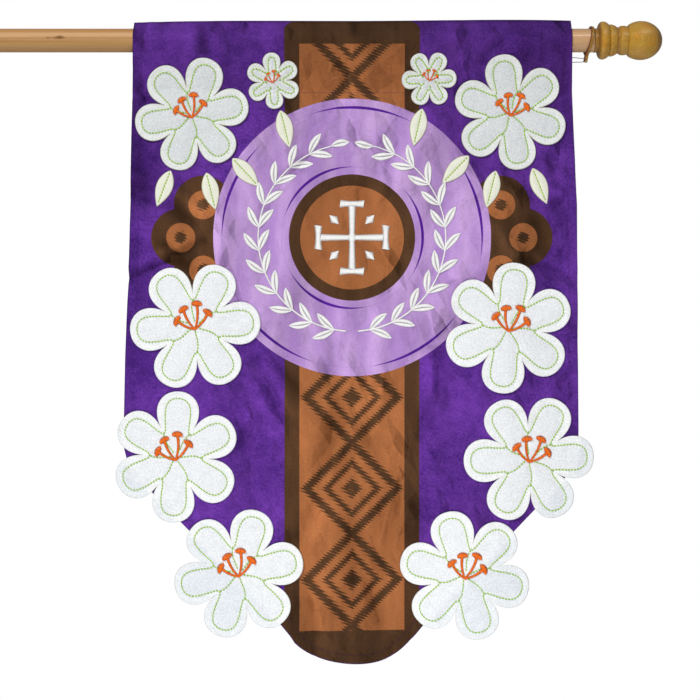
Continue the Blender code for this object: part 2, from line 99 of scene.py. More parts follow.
# Knots on the pole: x, place round it, half length and half width
POLE_KNOTS = (
    (0.2410, 0.04, 0.0040, 0.0020),
    (0.2575, 0.04, 0.0150, 0.0026),
    (0.2600, 0.12, 0.0080, 0.0036),
    (0.5200, -0.35, 0.0040, 0.0020),
    (0.9050, 0.45, 0.0050, 0.0022),
)
CLEAR_END = (1.070, 1.078)

# Outline of the banner cloth
CENTRE_X = 0.724
CLOTH_DEPTH = 0.0015
EDGE_COLUMNS = ("left", "right", "z")
EDGE = in_metres(
    (-348.2, 349.8, 60),
    (-348.4, 350, -4),
    (-351.2, 352.1, -85),
    (-353, 354.7, -145),
    (-354.6, 357.8, -212),
    (-354.8, 360.4, -262),
    (-357, 361.2, -345),
    (-360.4, 361.6, -420),
    (-364, 362.4, -505),
    (-366.8, 363.4, -620),
    (-366, 363.2, -654),
    (-358, 355, -686),
    (-255.5, 254.5, -789),
    (-150.9, 153.1, -889),
    (-96.9, 100, -954),
)
CORNER_ROW = 10
FOOT_RADIUS = 0.1300
FOOT_STEPS = 28
FOOT_UNEVEN = 0.0020
FOOT_WAVES = 5.0
FOOT_DENT = math.radians(-12)

# Sleeve that the pole passes through
SLEEVE_GAP = 0.0005
SEAM_Z = -0.080
CREST_Z = 0.0305
CREST_SLOPE = 0.0040
CREST_SAG = 0.0015
CREST_SAG_POWER = 6
CREST_RIPPLE_RISE = 0.00055
CREST_RIPPLE_PER_METRE = 14.0
CREST_RIPPLE_PHASE = -1.93
CREST_RIPPLE_START = 0.0150
CREST_STAND = 0.0003
TUNNEL_START = 0.0035
HANG_FREE_Z = -0.260
LOWEST_ROW_Z = -1.0150
SEAM_ALLOWANCE = 0.0080

# Folds of the hanging cloth, soft ridges (rise above 0) and troughs (rise below 0)
FOLD_COLUMNS = ("x1", "z1", "x2", "z2", "width", "rise")
FOLDS = in_metres(
    (-358, -386, -235, -324, 26, -4.6),
    (-352, -340, -250, -285, 26, 3),
    (160, -388, 345, -482, 26, -4.4),
    (215, -360, 352, -425, 26, 2.8),
    (-235, -85, -243, -190, 30, -3.6),
    (300, -120, 330, -185, 28, 3.4),
    (-108, -520, -140, -690, 28, -4.6),
    (-62, -560, -85, -740, 27, 3.2),
    (137, -500, 118, -690, 28, -4.2),
    (10, -655, 72, -790, 28, 3.4),
    (-55, -760, -68, -930, 28, -3.8),
    (20, -880, 52, -985, 28, 3.2),
    (-60, -420, 70, -470, 32, -2.6),
)
FLUTE_COLUMNS = ("length", "phase", "drift", "depth")
FLUTES = (
    (0.410, 0.6, 1.9, 0.0068),
    (0.235, 2.1, -2.6, 0.0036),
)
EDGE_CURL = 0.0060
CURL_HALF_WIDTH = 0.3500
FLUTE_SHARE_AT_SEAM = 0.12

# Fine creases, in the same columns as the folds
CREASES = in_metres(
    (-357, -379, -290, -350, 7.5, -3),
    (-290, -350, -240, -322, 8.5, -2),
    (-353, -364, -262, -322, 9, 2.2),
    (160, -389, 222, -424, 6.5, -2.6),
    (165, -378, 226, -411, 8, 1.6),
    (272, -352, 354, -386, 7, -2.4),
    (285, -342, 352, -370, 8, 1.5),
    (-240, 20, -236, -22, 9.5, -2.2),
    (-236, -22, -230, -82, 11, -2.6),
    (-348, 14, -335, -12, 6, -2.4),
    (-330, 22, -334, -2, 5.5, -1.8),
    (-322, 26, -327, 6, 5, 1.4),
    (-346, -50, -334, -66, 6, -2.2),
    (-343, -78, -328, -90, 6, -2.8),
    (-336, -68, -330, -100, 5.5, -2),
    (-347, -100, -335, -112, 6, -2.4),
    (-306, 26, -303, 12, 5.5, -1.2),
    (6, 27, 3, 10, 5.5, -1.2),
    (178, 27, 181, 8, 5.5, -1.2),
    (-110, -219, -78, -197, 7, -2.6),
    (-78, -197, -45, -168, 8, -1.6),
    (-103, -61, -100, -150, 8.5, -2),
    (96, -42, 99, -110, 9, -2.2),
    (100, -216, 106, -245, 8, -1.8),
    (34, -158, 52, -190, 9, 1.6),
    (62, -186, 64, -242, 8, -1.8),
    (205, -30, 226, -74, 13, -1.8),
    (309, -190, 349, -214, 6.5, -2),
    (318, -226, 352, -238, 6.5, -1.6),
    (-347, -205, -310, -228, 6.5, -1.8),
    (-350, -250, -318, -256, 6.5, -1.4),
    (246, -224, 322, -262, 10.5, -2.6),
    (262, -212, 334, -247, 12, 2),
    (292, -296, 320, -374, 11, -2.6),
    (334, -262, 347, -332, 10, -2.4),
    (228, -300, 262, -350, 12, 1.8),
    (-332, -234, -258, -292, 11, -2.6),
    (-320, -218, -246, -270, 12, 2),
    (-304, -328, -246, -374, 10, -2.4),
    (-342, -296, -298, -350, 11, 1.8),
    (-155, -514, -143, -546, 9, -2.6),
    (-131, -555, -112, -604, 9.5, -3),
    (-119, -548, -100, -596, 8.5, 1.8),
    (138, -504, 148, -582, 9, -3),
    (126, -520, 133, -590, 8.5, 1.6),
    (141, -565, 122, -612, 8, -2),
    (-30, -490, -35, -526, 6, -1.4),
    (-14, -488, -13, -520, 6, -1.2),
    (4, -492, 7, -524, 6, -1.4),
    (86, -467, 99, -500, 6.5, -1.7),
    (104, -460, 121, -492, 6.5, -1.5),
    (-20, -640, -56, -786, 12, 2),
    (-36, -640, -72, -780, 10, -1.8),
    (77, -707, 52, -803, 8, -2.4),
    (64, -700, 36, -800, 8, -1.8),
    (70, -702, 44, -803, 7, 1.4),
    (-72, -899, -60, -947, 8.5, -2.2),
    (30, -872, 46, -930, 9, -1.8),
    (-64, -962, -58, -984, 5.5, -1.2),
    (66, -958, 61, -982, 5.5, -1.2),
    (-22, -560, -30, -640, 10, -1.6),
    (46, -548, 38, -628, 10, 1.5),
)
CREASE_GAIN = 2.7
CREASE_SHARPNESS = 1.5
FAINT_CREASES = 64
FAINT_CREASE_SEED = 11
DENSE_REACH = 0.185
DENSE_FADE = 0.030
DENSE_GAIN = 0.55
# Width of the painted shade along the sleeve's crest
CREST_SHADE = 0.0016
# Crease depth at which the painted crease shade is full
CREASE_SHADE_DEPTH = 0.0050
CREASE_FADE = 0.012
SLEEVE_CREASE_SHARE = 0.80
SEAM_FADE = 0.030
OVER_POLE_Z = -0.060
OVER_POLE_FADE = 0.040
OVER_POLE_TROUGH = 0.0005
DEEPEST_TROUGH = 0.0090

# Ripples round what is sewn on: quick waves to the metre, their sway and the sway's own waves
PUCKER_WAVES = ((330.0, 2.0, 90.0), (290.0, 1.7, 70.0))
PUCKER_RISE = 0.00070
PUCKER_REACH = 0.011
WREATH_PUCKER_REACH = 0.030
WREATH_PUCKER_SHARE = 0.8

# Strewn creases: the ranges of x, z, turn, half length, width and rise
FAINT_RANGES = (
    (-0.33, 0.33),
    (-0.93, -0.10),
    (0.8, 2.4),
    (0.012, 0.050),
    (0.007, 0.014),
    (-0.0020, 0.0016),
)

# Creases that spring from the embroidery, with the ranges of length, width and rise
DRAWN_SEED = 5
WREATH_CREASE_GAPS = 0.25
WREATH_CREASE_START = 0.9
WREATH_CREASE_SWAY = 0.35
WREATH_CREASE_RANGES = ((0.010, 0.026), (0.0042, 0.0062), (-0.0017, -0.0008))
BOSS_CREASES = 22
BOSS_CREASE_SWAY = 0.3
BOSS_CREASE_START = (0.046, 0.066)
BOSS_CREASE_RANGES = ((0.014, 0.034), (0.0044, 0.0066), (-0.0015, 0.0009))

# Creased facets finer than the mesh: turn, length, slope and bend
FACET_WAVES = (
    (0.55, 0.047, 0.34, 0.8),
    (2.55, 0.058, 0.22, -0.9),
    (0.05, 0.066, 0.26, 0.6),
    (1.45, 0.083, 0.12, -0.6),
)

# Rows and columns of the cloth's mesh, and the step of its hems
FRONT_ROWS = 20
TURN_ROWS = 7
BACK_ROWS = 15
TAIL_ROWS = 4
NEAR_EDGE = (0.0, 0.0011, 0.0050)
EDGE_TO_HEM = 0.0100
NEAR_HEM = (-0.0012, 0.0006, 0.0048)
LAYER_GAP = 0.0001
HEM_STEP_START = 0.0012
HEM_STEP = 0.0018
HEM_FADE = 0.012

# Felt blossoms and satin leaves
FELT_DEPTH = 0.0016
SATIN_DEPTH = 0.0010
APPLIQUE_LIFT = 0.0002
RIM_ROUNDING = 0.0009
RIM_INSETS = (2.6, 1.4, 0.6, 0.2, 0.0)
RIM_FALLS = (0.0, 0.02, 0.16, 0.40, 0.62)
FRONT_RINGS = 24
BACK_RINGS = 10
PUFF_REACH = 0.014
DIP_REACH = 0.0022
TIP_CURL = 0.0016
TIP_START = 0.62
BEYOND_FADE = 0.008
PETALS = 6
PETAL_VALLEY = 0.50
PETAL_POINT = 2.2
PETAL_SHOULDER = 0.55
RING_SMOOTHINGS = 6
SEAM_START = 0.007
SEAM_BEND = 0.11
LEAF_LENGTH = 0.062
LEAF_HALF_WIDTH = 0.0135
LEAF_LEAN = 0.85
LEAF_FULLNESS = 0.85
LEAF_CLEARANCE = 0.003
LEAF_STEPS = 40
LEAF_MIDDLE = 0.46
LEAF_CROWN = 0.0011
LEAF_CROWN_HALF = 0.008
LEAF_CROWN_FULLNESS = 0.8
LEAF_RIB = (0.06, 0.90)
BLOSSOM_COLUMNS = ("name", "x", "z", "radius", "turn")
BLOSSOMS = (
    ("blossom_left_corner", -0.256, -0.119, 0.092, 11),
    ("blossom_left_bud", -0.126, -0.066, 0.044, 34),
    ("blossom_left_upper", -0.251, -0.457, 0.105, 4),
    ("blossom_left_side", -0.282, -0.666, 0.105, 27),
    ("blossom_left_foot", -0.181, -0.852, 0.105, 13),
    ("blossom_right_corner", 0.253, -0.116, 0.092, 40),
    ("blossom_right_bud", 0.123, -0.063, 0.044, 2),
    ("blossom_right_upper", 0.250, -0.460, 0.105, 23),
    ("blossom_right_side", 0.283, -0.669, 0.105, 2),
    ("blossom_right_foot", 0.180, -0.855, 0.105, 46),
)
LEAF_COLUMNS = ("name", "blossom", "direction")
LEAVES = (
    ("leaf_left_inner", "blossom_left_corner", 313),
    ("leaf_left_middle", "blossom_left_corner", 284),
    ("leaf_left_outer", "blossom_left_corner", 249),
    ("leaf_left_bud", "blossom_left_bud", 284),
    ("leaf_right_inner", "blossom_right_corner", 226),
    ("leaf_right_middle", "blossom_right_corner", 256),
    ("leaf_right_outer", "blossom_right_corner", 292),
    ("leaf_right_bud", "blossom_right_bud", 257),
)

# Clip ring, its wire loop and the webbing tab
RING_X = 1.1030
RING_INNER = 0.0205
RING_WALL = 0.0030
RING_WIDTH = 0.0055
RING_BEVEL = 0.0011
RING_TILT = math.radians(10)
RING_YAW = math.radians(6)
RING_DROP = 0.0006
LUG_WIDTH = 0.0060
LUG_DEPTH = 0.0040
LUG_TOP = 0.0215
LUG_END = 0.0350
LUG_BEVEL = 0.0011
HOLE_RADIUS = 0.0014
HOLE_CENTRE = 0.0312
WIRE_RADIUS = 0.0006
TAB_HEIGHT = 0.0044
TAB_EYE_RADIUS = 0.0013
TAB_WALL = 0.0010
TAB_OPENING = 1.15
TAB_SPREAD = 1.08
TAB_SHIFT = TAB_WALL * 0.46
TAB_END_X = -0.0720
TAB_END_Y = 0.0104
WIRE_COLUMNS = ("x", "y", "z")
WIRE = in_metres(
    (0, -1.8, 0),
    (-1.2, -3.4, 0.6),
    (-4, -3.6, 1.8),
    (-20, -2.6, 3.6),
    (-34, -1, 5),
    (-42, -0.2, 4.4),
    (-44.8, 0, 2.8),
    (-45, 0, 0),
    (-44.8, 0, -2.8),
    (-42, 0.2, -4.6),
    (-30, 1.4, -4.6),
    (-15, 2.6, -2.6),
    (-4, 3.6, -2.8),
    (-1.2, 3.4, -1),
    (0, 1.8, 0),
)

# Print on the cloth: a budded cross with a roundel at its crossing
CROSS_Z = -0.315
SHAFT_HALF = 0.108
ARM_HALF = 0.078
ARM_REACH = 0.232
BUD_X = 0.238
BUD_RISE = 0.052
BUD_END_X = 0.274
BUD_RADIUS = 0.047
BORDER = 0.024
CORNER_ROUNDING = 0.020
TAN_TOP_Z = -0.006
TAN_FOOT_Z = -0.944
FOOT_BAND_Z = -0.905
FOOT_HEM_LINE = 0.0010
ROUNDEL = 0.222
BOSS = 0.101
BOSS_BORDER = 0.018
OUTER_ACCENT = 0.208
INNER_ACCENT = 0.113
DIAMOND = 0.146
DIAMOND_STROKE = 0.0062
HATCH_PITCH = 0.0046
HATCH_DEPTH = 0.0062

# Embroidery: a laurel wreath on the roundel and a cross with barred arms on the boss
WREATH_RADIUS = 0.150
WREATH_START = 11
WREATH_END = 167
WREATH_PAIRS = 11
WREATH_LEAF = 0.037
WREATH_LEAF_HALF = 0.0062
WREATH_TIP_SHARE = 0.8
WREATH_LEAN = math.radians(33)
CROSS_ARM = 0.054
CROSS_ARM_START = 0.0055
CROSS_ARM_GAP = 0.004
CROSS_ARM_STAND = 0.0014
CROSS_STROKE_HALF = 0.0052
CROSS_BAR_HALF = 0.0190
CROSS_BAR_WIDTH = 0.0044
CROSS_BAR_STAND = 0.0013
CROSS_CORNER = (0.0215, 0.0355)
CROSS_CORNER_HALF = 0.0068
CROSS_CORNER_STAND = 0.0012
CROSS_HEART = 0.0075
CROSS_HEART_STAND = 0.0016
SATIN_PITCH = 0.00092
SATIN_ARCH = 0.92
RUNNING_DIP = 1.4
RUNNING_STAND = 0.55
RUNNING_FLATNESS = 0.8
THREAD_END = 0.45
THREAD_SHIFT = 0.0137
SHADE_STEP = 0.618
SEWN_LEAF_BOW = 0.05
SEWN_LEAF_LEAN = 0.82
SEWN_LEAF_FULLNESS = 0.8
SEWN_LEAF_STAND = 0.0011
BRANCH_HALF = 0.0014
BRANCH_TAPER = 0.0004
BRANCH_STAND = 0.0010

# Stamens, sized for the largest blossom
STAMEN_TURNS = (-50, -16, 18, 52)
STAMEN_REACHES = (0.33, 0.40, 0.36, 0.31)
STAMEN_LEAN = 12
STAMEN_DROP = 0.05
STAMEN_BOW = 0.07
FILAMENT_HALF = 0.0019
FILAMENT_STAND = 0.0013
ANTHER_REACH = 0.0086
ANTHER_HALF = 0.0050
ANTHER_DROOP = 30.0
ANTHER_STAND = 0.0021

# Lock stitches of the hems and the seam
HEM_STITCH_INSET = 0.0018
HEM_STITCH_TOP = CREST_Z - 0.004
BACK_STITCH_TOP = SEAM_Z + 0.006
SEAM_STITCH_HALF = 0.346
SEAM_STITCH_DROP = 0.0035
LOCK_STAND = 0.00028
APPLIQUE_ROOM = 0.002

# Studio lamps: name, place, size and whether glossy surfaces show them
LAMPS = (
    ("key", (-2.26, -3.83, 3.08), (1.6, 1.6), False),
    ("fill", (0.90, -1.90, -2.20), (1.4, 1.4), False),
    ("strip", (1.90, -2.50, 2.40), (4.4, 0.50), True),
    ("behind", (1.60, 3.60, 1.20), (2.0, 2.0), False),
)
LAMP_TARGET = (CENTRE_X, 0.0, -0.45)
LENS = 85.0
SENSOR = 36.0
FAR_CLIP = 30.0
FLOOR_SIZE = 3.2


def rows_of(columns, table):
    return [dict(zip(columns, row)) for row in table]


ALL_BLOSSOMS = rows_of(BLOSSOM_COLUMNS, BLOSSOMS)
ALL_LEAVES = rows_of(LEAF_COLUMNS, LEAVES)
FULL_RADIUS = max(blossom["radius"] for blossom in ALL_BLOSSOMS)


def middle_of(blossom):
    return np.array([blossom["x"], blossom["z"]])


def heading(angle):
    """The way that an angle points, and the way to the left of it."""
    out = np.array([math.cos(angle), math.sin(angle)])
    return out, np.array([-out[1], out[0]])


def swung(reach, turn):
    """Places at a reach from a middle, each in its own turn."""
    return np.stack([reach * np.cos(turn), reach * np.sin(turn)], axis=-1)


def on_banner(x, depth, z):
    """Points from places on the banner and their depths."""
    return np.stack([CENTRE_X + x, depth, z], axis=-1)


def dye(red, green, blue):
    """A colour given as it looks on a screen, 0 to 255, as the linear values that materials take."""
    def linear(value):
        share = value / 255
        return share / 12.92 if share <= 0.04045 else ((share + 0.055) / 1.055) ** 2.4
    return linear(red), linear(green), linear(blue)


def length_setting(name, description, default):
    return bpy.props.FloatProperty(
        name=name, description=description, default=default, min=0.0, precision=5, unit="LENGTH")


def power_setting(name, description, default):
    return bpy.props.FloatProperty(
        name=name, description=description, default=default, min=0.0, unit="POWER")


def colour_setting(name, description, default):
    return bpy.props.FloatVectorProperty(
        name=name, description=description, default=default, min=0.0, max=1.0, size=3, subtype="COLOR")


def count_setting(name, description, default):
    return bpy.props.IntProperty(name=name, description=description, default=default, min=3)


class ClothLook(bpy.types.PropertyGroup):
    """Sizes and dyes of the printed cloth"""

    thickness: length_setting("Thickness", "Thickness of one layer of the cloth", 0.0008)
    hem_width: length_setting("Hem width", "Width of the turned hem along the sides and the foot", 0.0160)
    hem_extra: length_setting("Hem thickness", "What the turned hem adds on the back", 0.0009)
    columns: count_setting("Columns", "Columns of the cloth's mesh from side to side", 186)
    rows: count_setting("Rows", "Rows of the cloth's mesh from foot to sleeve", 218)
    ground: colour_setting("Ground", "Purple dye of the ground", dye(112, 59, 164))
    ground_deep: colour_setting("Deep ground", "Deeper purple in the ground's mottling", dye(71, 34, 119))
    border: colour_setting("Border", "Dark brown of the cross's border", dye(81, 55, 36))
    panel: colour_setting("Panel", "Tan of the cross's panels", dye(165, 102, 61))
    roundel: colour_setting("Roundel", "Lilac of the roundel", dye(193, 157, 211))
    roundel_deep: colour_setting("Deep roundel", "Deeper lilac in the roundel's streaks", dye(169, 131, 195))
    accent: colour_setting("Accent", "Purple of the brush strokes on the roundel", dye(84, 30, 142))


class FeltLook(bpy.types.PropertyGroup):
    """Sizes and colours of the felt blossoms and the satin leaves"""

    petal_steps: count_setting("Petal steps", "Points along the edge of one petal", 32)
    stitch_inset: length_setting("Stitch inset", "Distance of the running stitch from a petal's edge", 0.0100)
    puff: length_setting("Puff", "How far the felt swells between its stitches", 0.0009)
    stitch_dip: length_setting("Stitch dip", "How far the running stitch draws the felt in", 0.0006)
    # Upper and lower are one felt lit two ways: the greyer upper white is painted shade, the lower white
    # painted light
    upper: colour_setting("Upper felt", "White of the blossoms near the sleeve", dye(230, 233, 231))
    lower: colour_setting("Lower felt", "White of the blossoms below", dye(244, 246, 247))
    inside: colour_setting("Inside", "Tint of the felt inside its stitches", dye(243, 244, 248))
    beyond: colour_setting("Past the edge", "Tint of felt with no cloth behind it", dye(245, 247, 250))
    cut_edge: colour_setting("Cut edge", "Tint of the felt's cut edge", dye(162, 160, 128))
    satin: colour_setting("Satin", "Cream of the satin leaves", dye(240, 240, 224))


class ThreadLook(bpy.types.PropertyGroup):
    """Sizes and colours of the sewing and embroidery threads"""

    running_length: length_setting("Running stitch", "Length of one running stitch on the felt", 0.0044)
    running_pitch: length_setting("Running pitch", "Distance from one running stitch to the next", 0.0050)
    running_width: length_setting("Running width", "Width of the running stitch's thread", 0.00205)
    lock_length: length_setting("Lock stitch", "Length of one lock stitch in the hems", 0.0025)
    lock_pitch: length_setting("Lock pitch", "Distance from one lock stitch to the next", 0.0032)
    lock_width: length_setting("Lock width", "Width of the lock stitch's thread", 0.00050)
    satin_width: length_setting("Satin thread", "Width of one thread of the satin stitch", 0.00134)
    green: colour_setting("Green", "Thread of the petals' running stitch", dye(166, 208, 56))
    orange: colour_setting("Orange", "Thread of the stamens", dye(240, 112, 34))
    white: colour_setting("White", "Thread of the wreath and the cross", dye(252, 252, 250))
    purple: colour_setting("Purple", "Thread of the hems", dye(66, 32, 96))


class WoodLook(bpy.types.PropertyGroup):
    """Sizes and colours of the pole, the finial and the clip"""

    sides: count_setting("Sides", "Sides of the turned pieces", 96)
    pole: colour_setting("Pole", "Pale wood of the pole", dye(204, 160, 114))
    pole_grain: colour_setting("Pole grain", "Darker grain of the pole", dye(172, 122, 70))
    finial: colour_setting("Finial", "Golden varnished wood of the finial", dye(202, 160, 66))
    finial_grain: colour_setting("Finial grain", "Darker grain of the finial", dye(168, 116, 26))
    ring: colour_setting("Ring", "Plastic of the clip ring", dye(160, 118, 50))
    wire: colour_setting("Wire", "Drawn steel of the wire loop", dye(150, 150, 152))
    webbing: colour_setting("Webbing", "Woven tape of the tab", dye(70, 38, 108))


class StudioLook(bpy.types.PropertyGroup):
    """The camera's place and the studio's light"""

    camera_distance: length_setting("Camera distance", "From the pole's plane to the camera", 2.644)
    camera_x: length_setting("Camera x", "Place of the camera along the pole", 0.7208)
    camera_drop: length_setting("Camera drop", "How far the camera stands below the pole's axis", 0.4950)
    floor_drop: length_setting("Floor drop", "How far the floor lies below the pole's axis", 2.600)
    key_power: power_setting("Key light", "Power of the main soft light", 214.0)
    strip_power: power_setting("Strip light", "Power of the long soft light overhead", 25.0)
    fill_power: power_setting("Fill light", "Power of the soft light from below", 34.0)
    behind_power: power_setting("Light behind", "Power of the soft light on the banner's back", 40.0)
    ambient: bpy.props.FloatProperty(
        name="Room light", description="Even light from all round", default=0.17, min=0.0)
    floor: colour_setting("Floor", "Pale studio floor", dye(236, 236, 234))


class BannerLook(bpy.types.PropertyGroup):
    """All that a user would change on the banner"""

    cloth: bpy.props.PointerProperty(type=ClothLook, name="Cloth", description="Printed cloth")
    felt: bpy.props.PointerProperty(type=FeltLook, name="Felt", description="Felt blossoms and satin leaves")
    thread: bpy.props.PointerProperty(type=ThreadLook, name="Thread", description="Stitching and embroidery")
    wood: bpy.props.PointerProperty(type=WoodLook, name="Wood", description="Pole, finial and clip")
    studio: bpy.props.PointerProperty(type=StudioLook, name="Studio", description="Camera, light and floor")


# Shape of the hanging cloth


def smooth_step(value):
    share = np.clip(value, 0.0, 1.0)
    return share * share * (3.0 - 2.0 * share)


def line_rise(table, x, z, sharpness=2.0):
    """Height of soft ridges and troughs at points of the cloth, each lying along a line."""
    total = np.zeros(np.broadcast(x, z).shape)
    for line in rows_of(FOLD_COLUMNS, table):
        run, fall = line["x2"] - line["x1"], line["z2"] - line["z1"]
        across, down = x - line["x1"], z - line["z1"]
        share = np.clip((across * run + down * fall) / (run * run + fall * fall), 0.0, 1.0)
        away = np.hypot(across - share * run, down - share * fall)
        total = total + line["rise"] * np.exp(-((away / line["width"]) ** sharpness))
    return total


def drape(x, z):
    """How far the middle of the cloth stands behind the pole's axis, in its long flutes and main folds."""
    hang = smooth_step((SEAM_Z - z) / (SEAM_Z - LOWEST_ROW_Z))
    share = FLUTE_SHARE_AT_SEAM + (1.0 - FLUTE_SHARE_AT_SEAM) * hang
    depth = EDGE_CURL * share * (x / CURL_HALF_WIDTH) ** 4
    for flute in rows_of(FLUTE_COLUMNS, FLUTES):
        angle = math.tau * x / flute["length"] + flute["phase"] + flute["drift"] * z
        depth = depth + flute["depth"] * share * np.cos(angle)
    return (depth - line_rise(FOLDS, x, z)) * smooth_step(z / HANG_FREE_Z)


def faint_creases():
    """Short faint creases strewn over the cloth, the same in each run."""
    draw = np.random.default_rng(FAINT_CREASE_SEED)
    table = []
    for _ in range(FAINT_CREASES):
        x, z, turn, reach, width, rise = (draw.uniform(*limits) for limits in FAINT_RANGES)
        run, fall = reach * math.cos(turn), reach * math.sin(turn)
        table.append((x - run, z - fall, x + run, z + fall, width, rise))
    return tuple(table)


ALL_CREASES = CREASES + faint_creases()


def tunnel_angles():
    """Where the sleeve leaves the pole's round, below and above, as angles from the pole's side."""
    radius = POLE_RADIUS + SLEEVE_GAP
    return math.asin(radius / -SEAM_Z), math.asin(radius / CREST_Z)


def tunnel_half_depth(z):
    """Half the room in the sleeve: straight up from the seam, round the pole, straight up to the crest."""
    radius = POLE_RADIUS + SLEEVE_GAP
    low, high = tunnel_angles()
    below = (z - SEAM_Z) * math.tan(low)
    beside = np.sqrt(np.maximum(radius * radius - z * z, 0.0))
    above = (CREST_Z - z) * math.tan(high)
    tapered = np.where(z < radius * math.sin(high), beside, above)
    return np.maximum(np.where(z < -radius * math.sin(low), below, tapered), 0.0)


def layer_offset(z):
    """How far the middle of the sleeve's front layer stands before the middle of the section."""
    rise = smooth_step((z - SEAM_Z) / (2 * TUNNEL_START))
    return np.where(z <= SEAM_Z, 0.0, tunnel_half_depth(z) + CLOTH_DEPTH / 2 * rise)


def crest_lift(x, z):
    """The sleeve's top edge isn't quite level, and stands up where the fold is pressed."""
    ripple = CREST_RIPPLE_RISE * np.sin(CREST_RIPPLE_PER_METRE * x + CREST_RIPPLE_PHASE)
    sag = CREST_SAG * (x / CURL_HALF_WIDTH) ** CREST_SAG_POWER
    rise = smooth_step((z - CREST_RIPPLE_START) / (CREST_Z - CREST_RIPPLE_START))
    return (CREST_STAND + CREST_SLOPE * x + ripple - sag) * rise


# Outlines


def banner_edges():
    """The banner's outline in three runs: right side down, foot from right to left, left side down."""
    side = rows_of(EDGE_COLUMNS, EDGE)
    right = [(edge["right"], edge["z"]) for edge in side]
    left = [(edge["left"], edge["z"]) for edge in side]
    last = side[-1]
    centre_x = (last["left"] + last["right"]) / 2
    half_angle = math.asin((last["right"] - last["left"]) / 2 / FOOT_RADIUS)
    centre_z = last["z"] + FOOT_RADIUS * math.cos(half_angle)
    foot = []
    for n in range(1, FOOT_STEPS):
        angle = half_angle * (1.0 - 2.0 * n / FOOT_STEPS)
        reach = FOOT_RADIUS - FOOT_UNEVEN * math.cos(FOOT_WAVES * (angle - FOOT_DENT))
        foot.append((centre_x + reach * math.sin(angle), centre_z - reach * math.cos(angle)))
    return np.array(right), np.array(foot), np.array(left)


RIGHT_EDGE, FOOT_EDGE, LEFT_EDGE = banner_edges()
BANNER_OUTLINE = np.concatenate([RIGHT_EDGE, FOOT_EDGE, LEFT_EDGE[::-1]])


def across_cloth(share, z):
    """x at a share of the way from the left edge to the right one, at height z."""
    upright = CORNER_ROW + 1
    right = np.interp(z, RIGHT_EDGE[:upright][::-1, 1], RIGHT_EDGE[:upright][::-1, 0])
    left = np.interp(z, LEFT_EDGE[:upright][::-1, 1], LEFT_EDGE[:upright][::-1, 0])
    return left + (right - left) * share


def lower_edge(x):
    """z of the lower edge: the slopes and the foot."""
    line = np.concatenate([LEFT_EDGE[CORNER_ROW:], FOOT_EDGE[::-1], RIGHT_EDGE[CORNER_ROW:][::-1]])
    return np.interp(x, line[:, 0], line[:, 1])


def petal_reach(share):
    """Reach of a petal as a share of its tip's, from its middle line at 0 to the valleys at -1 and 1."""
    return PETAL_VALLEY + (1.0 - PETAL_VALLEY) * (1.0 - abs(share) ** PETAL_POINT) ** PETAL_SHOULDER


def blossom_outline(blossom, steps):
    """Points round a blossom, counter-clockwise as seen from the front."""
    n = np.arange(PETALS * steps)
    share = np.sin(math.pi * ((n % steps) / steps - 0.5))
    reach = blossom["radius"] * petal_reach(share)
    turn = share * math.pi / PETALS + (n // steps) * math.tau / PETALS + math.radians(blossom["turn"])
    return middle_of(blossom) + swung(reach, turn)


def leaf_line(leaf):
    """A leaf's base and the way it points."""
    blossom = next(one for one in ALL_BLOSSOMS if one["name"] == leaf["blossom"])
    along = heading(math.radians(leaf["direction"]))[0]
    return middle_of(blossom) + along * (blossom["radius"] + LEAF_CLEARANCE), along


def along_leaf(leaf, x, z):
    """How far points lie along a leaf from its base, and how far to the side of its middle line."""
    base, along = leaf_line(leaf)
    forward = (x - base[0]) * along[0] + (z - base[1]) * along[1]
    return forward, np.abs((z - base[1]) * along[0] - (x - base[0]) * along[1])


def leaf_half_width(share):
    return LEAF_HALF_WIDTH * np.sin(math.pi * share ** LEAF_LEAN) ** LEAF_FULLNESS


def leaf_outline(leaf, steps):
    """Points round a leaf, counter-clockwise as seen from the front."""
    base, along = leaf_line(leaf)
    across = np.array([-along[1], along[0]])
    n = np.arange(2 * steps)
    way = np.where(n < steps, n / steps, 2.0 - n / steps)
    share = 0.5 - 0.5 * np.cos(math.pi * way)
    side = np.where(n < steps, -1.0, 1.0)
    middle = base + along * (LEAF_LENGTH * share)[:, None]
    return middle + across * (side * leaf_half_width(share))[:, None]


def distance_to(line, x, z, closed=True):
    """Distance from points to the nearest place on a line of points."""
    start = line if closed else line[:-1]
    end = np.roll(line, -1, axis=0) if closed else line[1:]
    nearest = np.full(np.broadcast(x, z).shape, np.inf)
    for (x1, z1), (x2, z2) in zip(start, end):
        run, fall = x2 - x1, z2 - z1
        long = max(run * run + fall * fall, 1e-12)
        share = np.clip(((x - x1) * run + (z - z1) * fall) / long, 0.0, 1.0)
        nearest = np.minimum(nearest, np.hypot(x - x1 - share * run, z - z1 - share * fall))
    return nearest


def gap_to_appliques(x, z):
    """How far points lie outside the nearest blossom or leaf, below 0 inside one."""
    gap = np.full(np.broadcast(x, z).shape, np.inf)
    sector = math.tau / PETALS
    for blossom in ALL_BLOSSOMS:
        across, up = x - blossom["x"], z - blossom["z"]
        angle = np.mod(np.arctan2(up, across) - math.radians(blossom["turn"]) + sector / 2, sector)
        share = np.clip(angle / (sector / 2) - 1.0, -1.0, 1.0)
        gap = np.minimum(gap, np.hypot(across, up) - blossom["radius"] * petal_reach(share))
    for leaf in ALL_LEAVES:
        forward, aside = along_leaf(leaf, x, z)
        share = np.clip(forward / LEAF_LENGTH, 0.0, 1.0)
        beyond = np.maximum(-forward, forward - LEAF_LENGTH)
        gap = np.minimum(gap, np.maximum(aside - leaf_half_width(share), beyond))
    return gap


# Places of the embroidery


def wreath_point(angle, radius=WREATH_RADIUS):
    """A place on the wreath's ring. The angle runs from the foot of the roundel up one side."""
    return np.array([radius * math.sin(angle), CROSS_Z - radius * math.cos(angle)])


